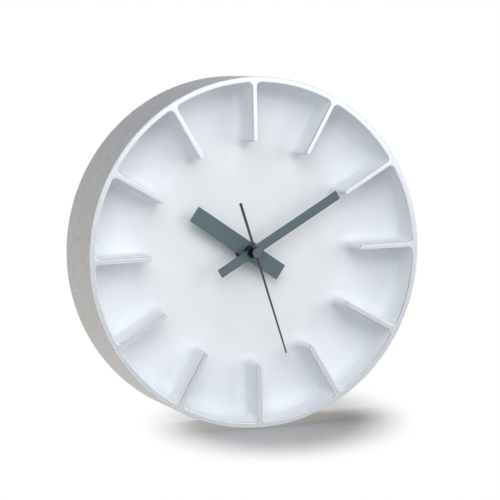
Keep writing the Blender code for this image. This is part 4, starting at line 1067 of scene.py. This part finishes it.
def floor_finish():
    """White paper that keeps the object's cast shadow inside an oval of painted shade, and is plain white away from
    it.
    """
    material = bpy.data.materials.new("white_paper")
    material.use_nodes = True
    tree = material.node_tree
    tree.nodes.clear()
    seen = background_ray(tree)
    tone = add_node(tree, "MapRange", {"To Min": FLOOR_BOUNCE, "To Max": FLOOR_TONE}, {"Value": seen})
    paper = add_node(tree, "BsdfDiffuse", links={"Color": tone.outputs["Result"]})
    lift = add_node(tree, "Math", {"operation": "MULTIPLY", 1: FLOOR_LIFT}, {0: seen})
    glow = add_node(tree, "Emission", links={"Strength": lift.outputs["Value"]})
    near = add_node(tree, "AddShader", links={0: paper.outputs["BSDF"], 1: glow.outputs["Emission"]})
    # The oval of painted shade: the dim lit paper shows inside it, and plain white outside it and in gloss.
    place = add_node(tree, "TexCoord")
    turned = (0.0, 0.0, CAMERA_AZIMUTH)
    settings = {"vector_type": "TEXTURE", "Location": PAINTED_SHADE_MIDDLE, "Rotation": turned, "Scale": PAINTED_SHADE_REACH}
    painted_shade_oval = add_node(tree, "Mapping", settings, {"Vector": place.outputs["Object"]})
    away = add_node(tree, "VectorMath", {"operation": "LENGTH"}, {0: painted_shade_oval.outputs["Vector"]})
    settings = {"From Min": PAINTED_SHADE_FADE, "interpolation_type": "SMOOTHSTEP"}
    fade = add_node(tree, "MapRange", settings, {"Value": away.outputs["Value"]})
    path = add_node(tree, "LightPath")
    links = {0: fade.outputs["Result"], 1: path.outputs["Is Glossy Ray"]}
    plain = add_node(tree, "Math", {"operation": "MAXIMUM"}, links)
    share = add_node(tree, "Math", {"operation": "MULTIPLY"}, {0: plain.outputs["Value"], 1: seen})
    white = add_node(tree, "Emission", {"Strength": 1.0})
    links = {0: share.outputs["Value"], 1: near.outputs["Shader"], 2: white.outputs["Emission"]}
    surface = add_node(tree, "MixShader", links=links)
    add_node(tree, "OutputMaterial", links={"Surface": surface.outputs["Shader"]})
    return material


def lit_by(floor, name, state):
    """What a lamp lights: the floor alone, or all but the floor."""
    receivers = bpy.data.collections.new(name)
    receivers.objects.link(floor)
    receivers.collection_objects[0].light_linking.link_state = state
    return receivers


def add_lamp(receivers, name, azimuth, elevation, size, power, in_gloss):
    """A square soft lamp turned to the hands' axis."""
    place = ORIGIN + direction(math.radians(azimuth), math.radians(elevation)) * LAMP_DISTANCE
    data = bpy.data.lights.new(name, "AREA")
    data.shape = "SQUARE"
    data.size = size
    data.energy = power
    lamp = add_object(name, data)
    lamp.visible_glossy = in_gloss
    lamp.light_linking.receiver_collection = receivers
    lamp.location = place
    lamp.rotation_euler = (ORIGIN - place).to_track_quat("-Z", "Y").to_euler()


def add_camera():
    """The photograph's view: nearly level, from the clock's left, with a long lens."""
    back = direction(CAMERA_AZIMUTH, CAMERA_ELEVATION)
    right = direction(CAMERA_AZIMUTH + QUARTER, 0.0)
    up = back.cross(right)
    across = right * math.cos(CAMERA_ROLL) + up * math.sin(CAMERA_ROLL)
    upright = up * math.cos(CAMERA_ROLL) - right * math.sin(CAMERA_ROLL)
    data = bpy.data.cameras.new("camera")
    data.sensor_width = 36.0
    data.lens = CAMERA_LENS
    data.shift_x, data.shift_y = CAMERA_SHIFT
    camera = add_object("camera", data)
    turned = Matrix((across, upright, back)).transposed().to_4x4()
    camera.matrix_world = Matrix.Translation(ORIGIN + back * CAMERA_DISTANCE) @ turned
    bpy.context.scene.camera = camera


class CLOCK_OT_stage(bpy.types.Operator):
    """Set the white floor, the lamps, the world and the camera"""

    bl_idname = "clock.stage"
    bl_label = "Stage"
    bl_options = {"REGISTER", "UNDO"}

    def execute(self, context):
        context.scene.view_settings.view_transform = "Standard"
        studio_white()
        data = bpy.data.meshes.new("floor")
        corners = [(x, y, 0.0) for x, y in circle(FLOOR_SIZE / 2, FLOOR_SIDES)]
        data.from_pydata(corners, [], [range(FLOOR_SIDES)])
        data.materials.append(floor_finish())
        floor = add_object("floor", data)
        floor.location.z = CAD_BOX[0][2]
        on_floor = lit_by(floor, "floor_alone", "INCLUDE")
        on_clock = lit_by(floor, "all_but_floor", "EXCLUDE")
        for lamp in CLOCK_LAMPS:
            add_lamp(on_clock, *lamp)
        add_lamp(on_floor, *FLOOR_LAMP)
        add_camera()
        return {"FINISHED"}


OPERATORS = (
    CLOCK_OT_case,
    CLOCK_OT_hands,
    CLOCK_OT_fixings,
    CLOCK_OT_hanger,
    CLOCK_OT_housing,
    CLOCK_OT_knob,
    CLOCK_OT_battery,
    CLOCK_OT_works,
    CLOCK_OT_stage,
)


class CLOCK_PT_panel(bpy.types.Panel):
    """Lists the clock's pieces, sizes and colours"""

    bl_idname = "CLOCK_PT_panel"
    bl_label = "Cast ridge clock"
    bl_space_type = "VIEW_3D"
    bl_region_type = "UI"
    bl_category = "Clock"

    def draw(self, context):
        for name in GROUPS:
            box = self.layout.box()
            group = getattr(context.scene, name)
            for prop in group.__annotations__:
                box.prop(group, prop)
        for operator in OPERATORS:
            self.layout.operator(operator.bl_idname)


GROUPS = {"clock_case": ClockCaseSizes, "clock_hands": ClockHandSizes, "clock_colours": ClockColours}
CLASSES = (*GROUPS.values(), *OPERATORS, CLOCK_PT_panel)


def register():
    for cls in CLASSES:
        bpy.utils.register_class(cls)
    for name, group in GROUPS.items():
        setattr(bpy.types.Scene, name, PointerProperty(type=group))


def unregister():
    for name in GROUPS:
        delattr(bpy.types.Scene, name)
    for cls in reversed(CLASSES):
        bpy.utils.unregister_class(cls)


def main():
    register()
    for operator in OPERATORS:
        getattr(bpy.ops.clock, operator.bl_idname.split(".")[1])()


if __name__ == "__main__":
    main()
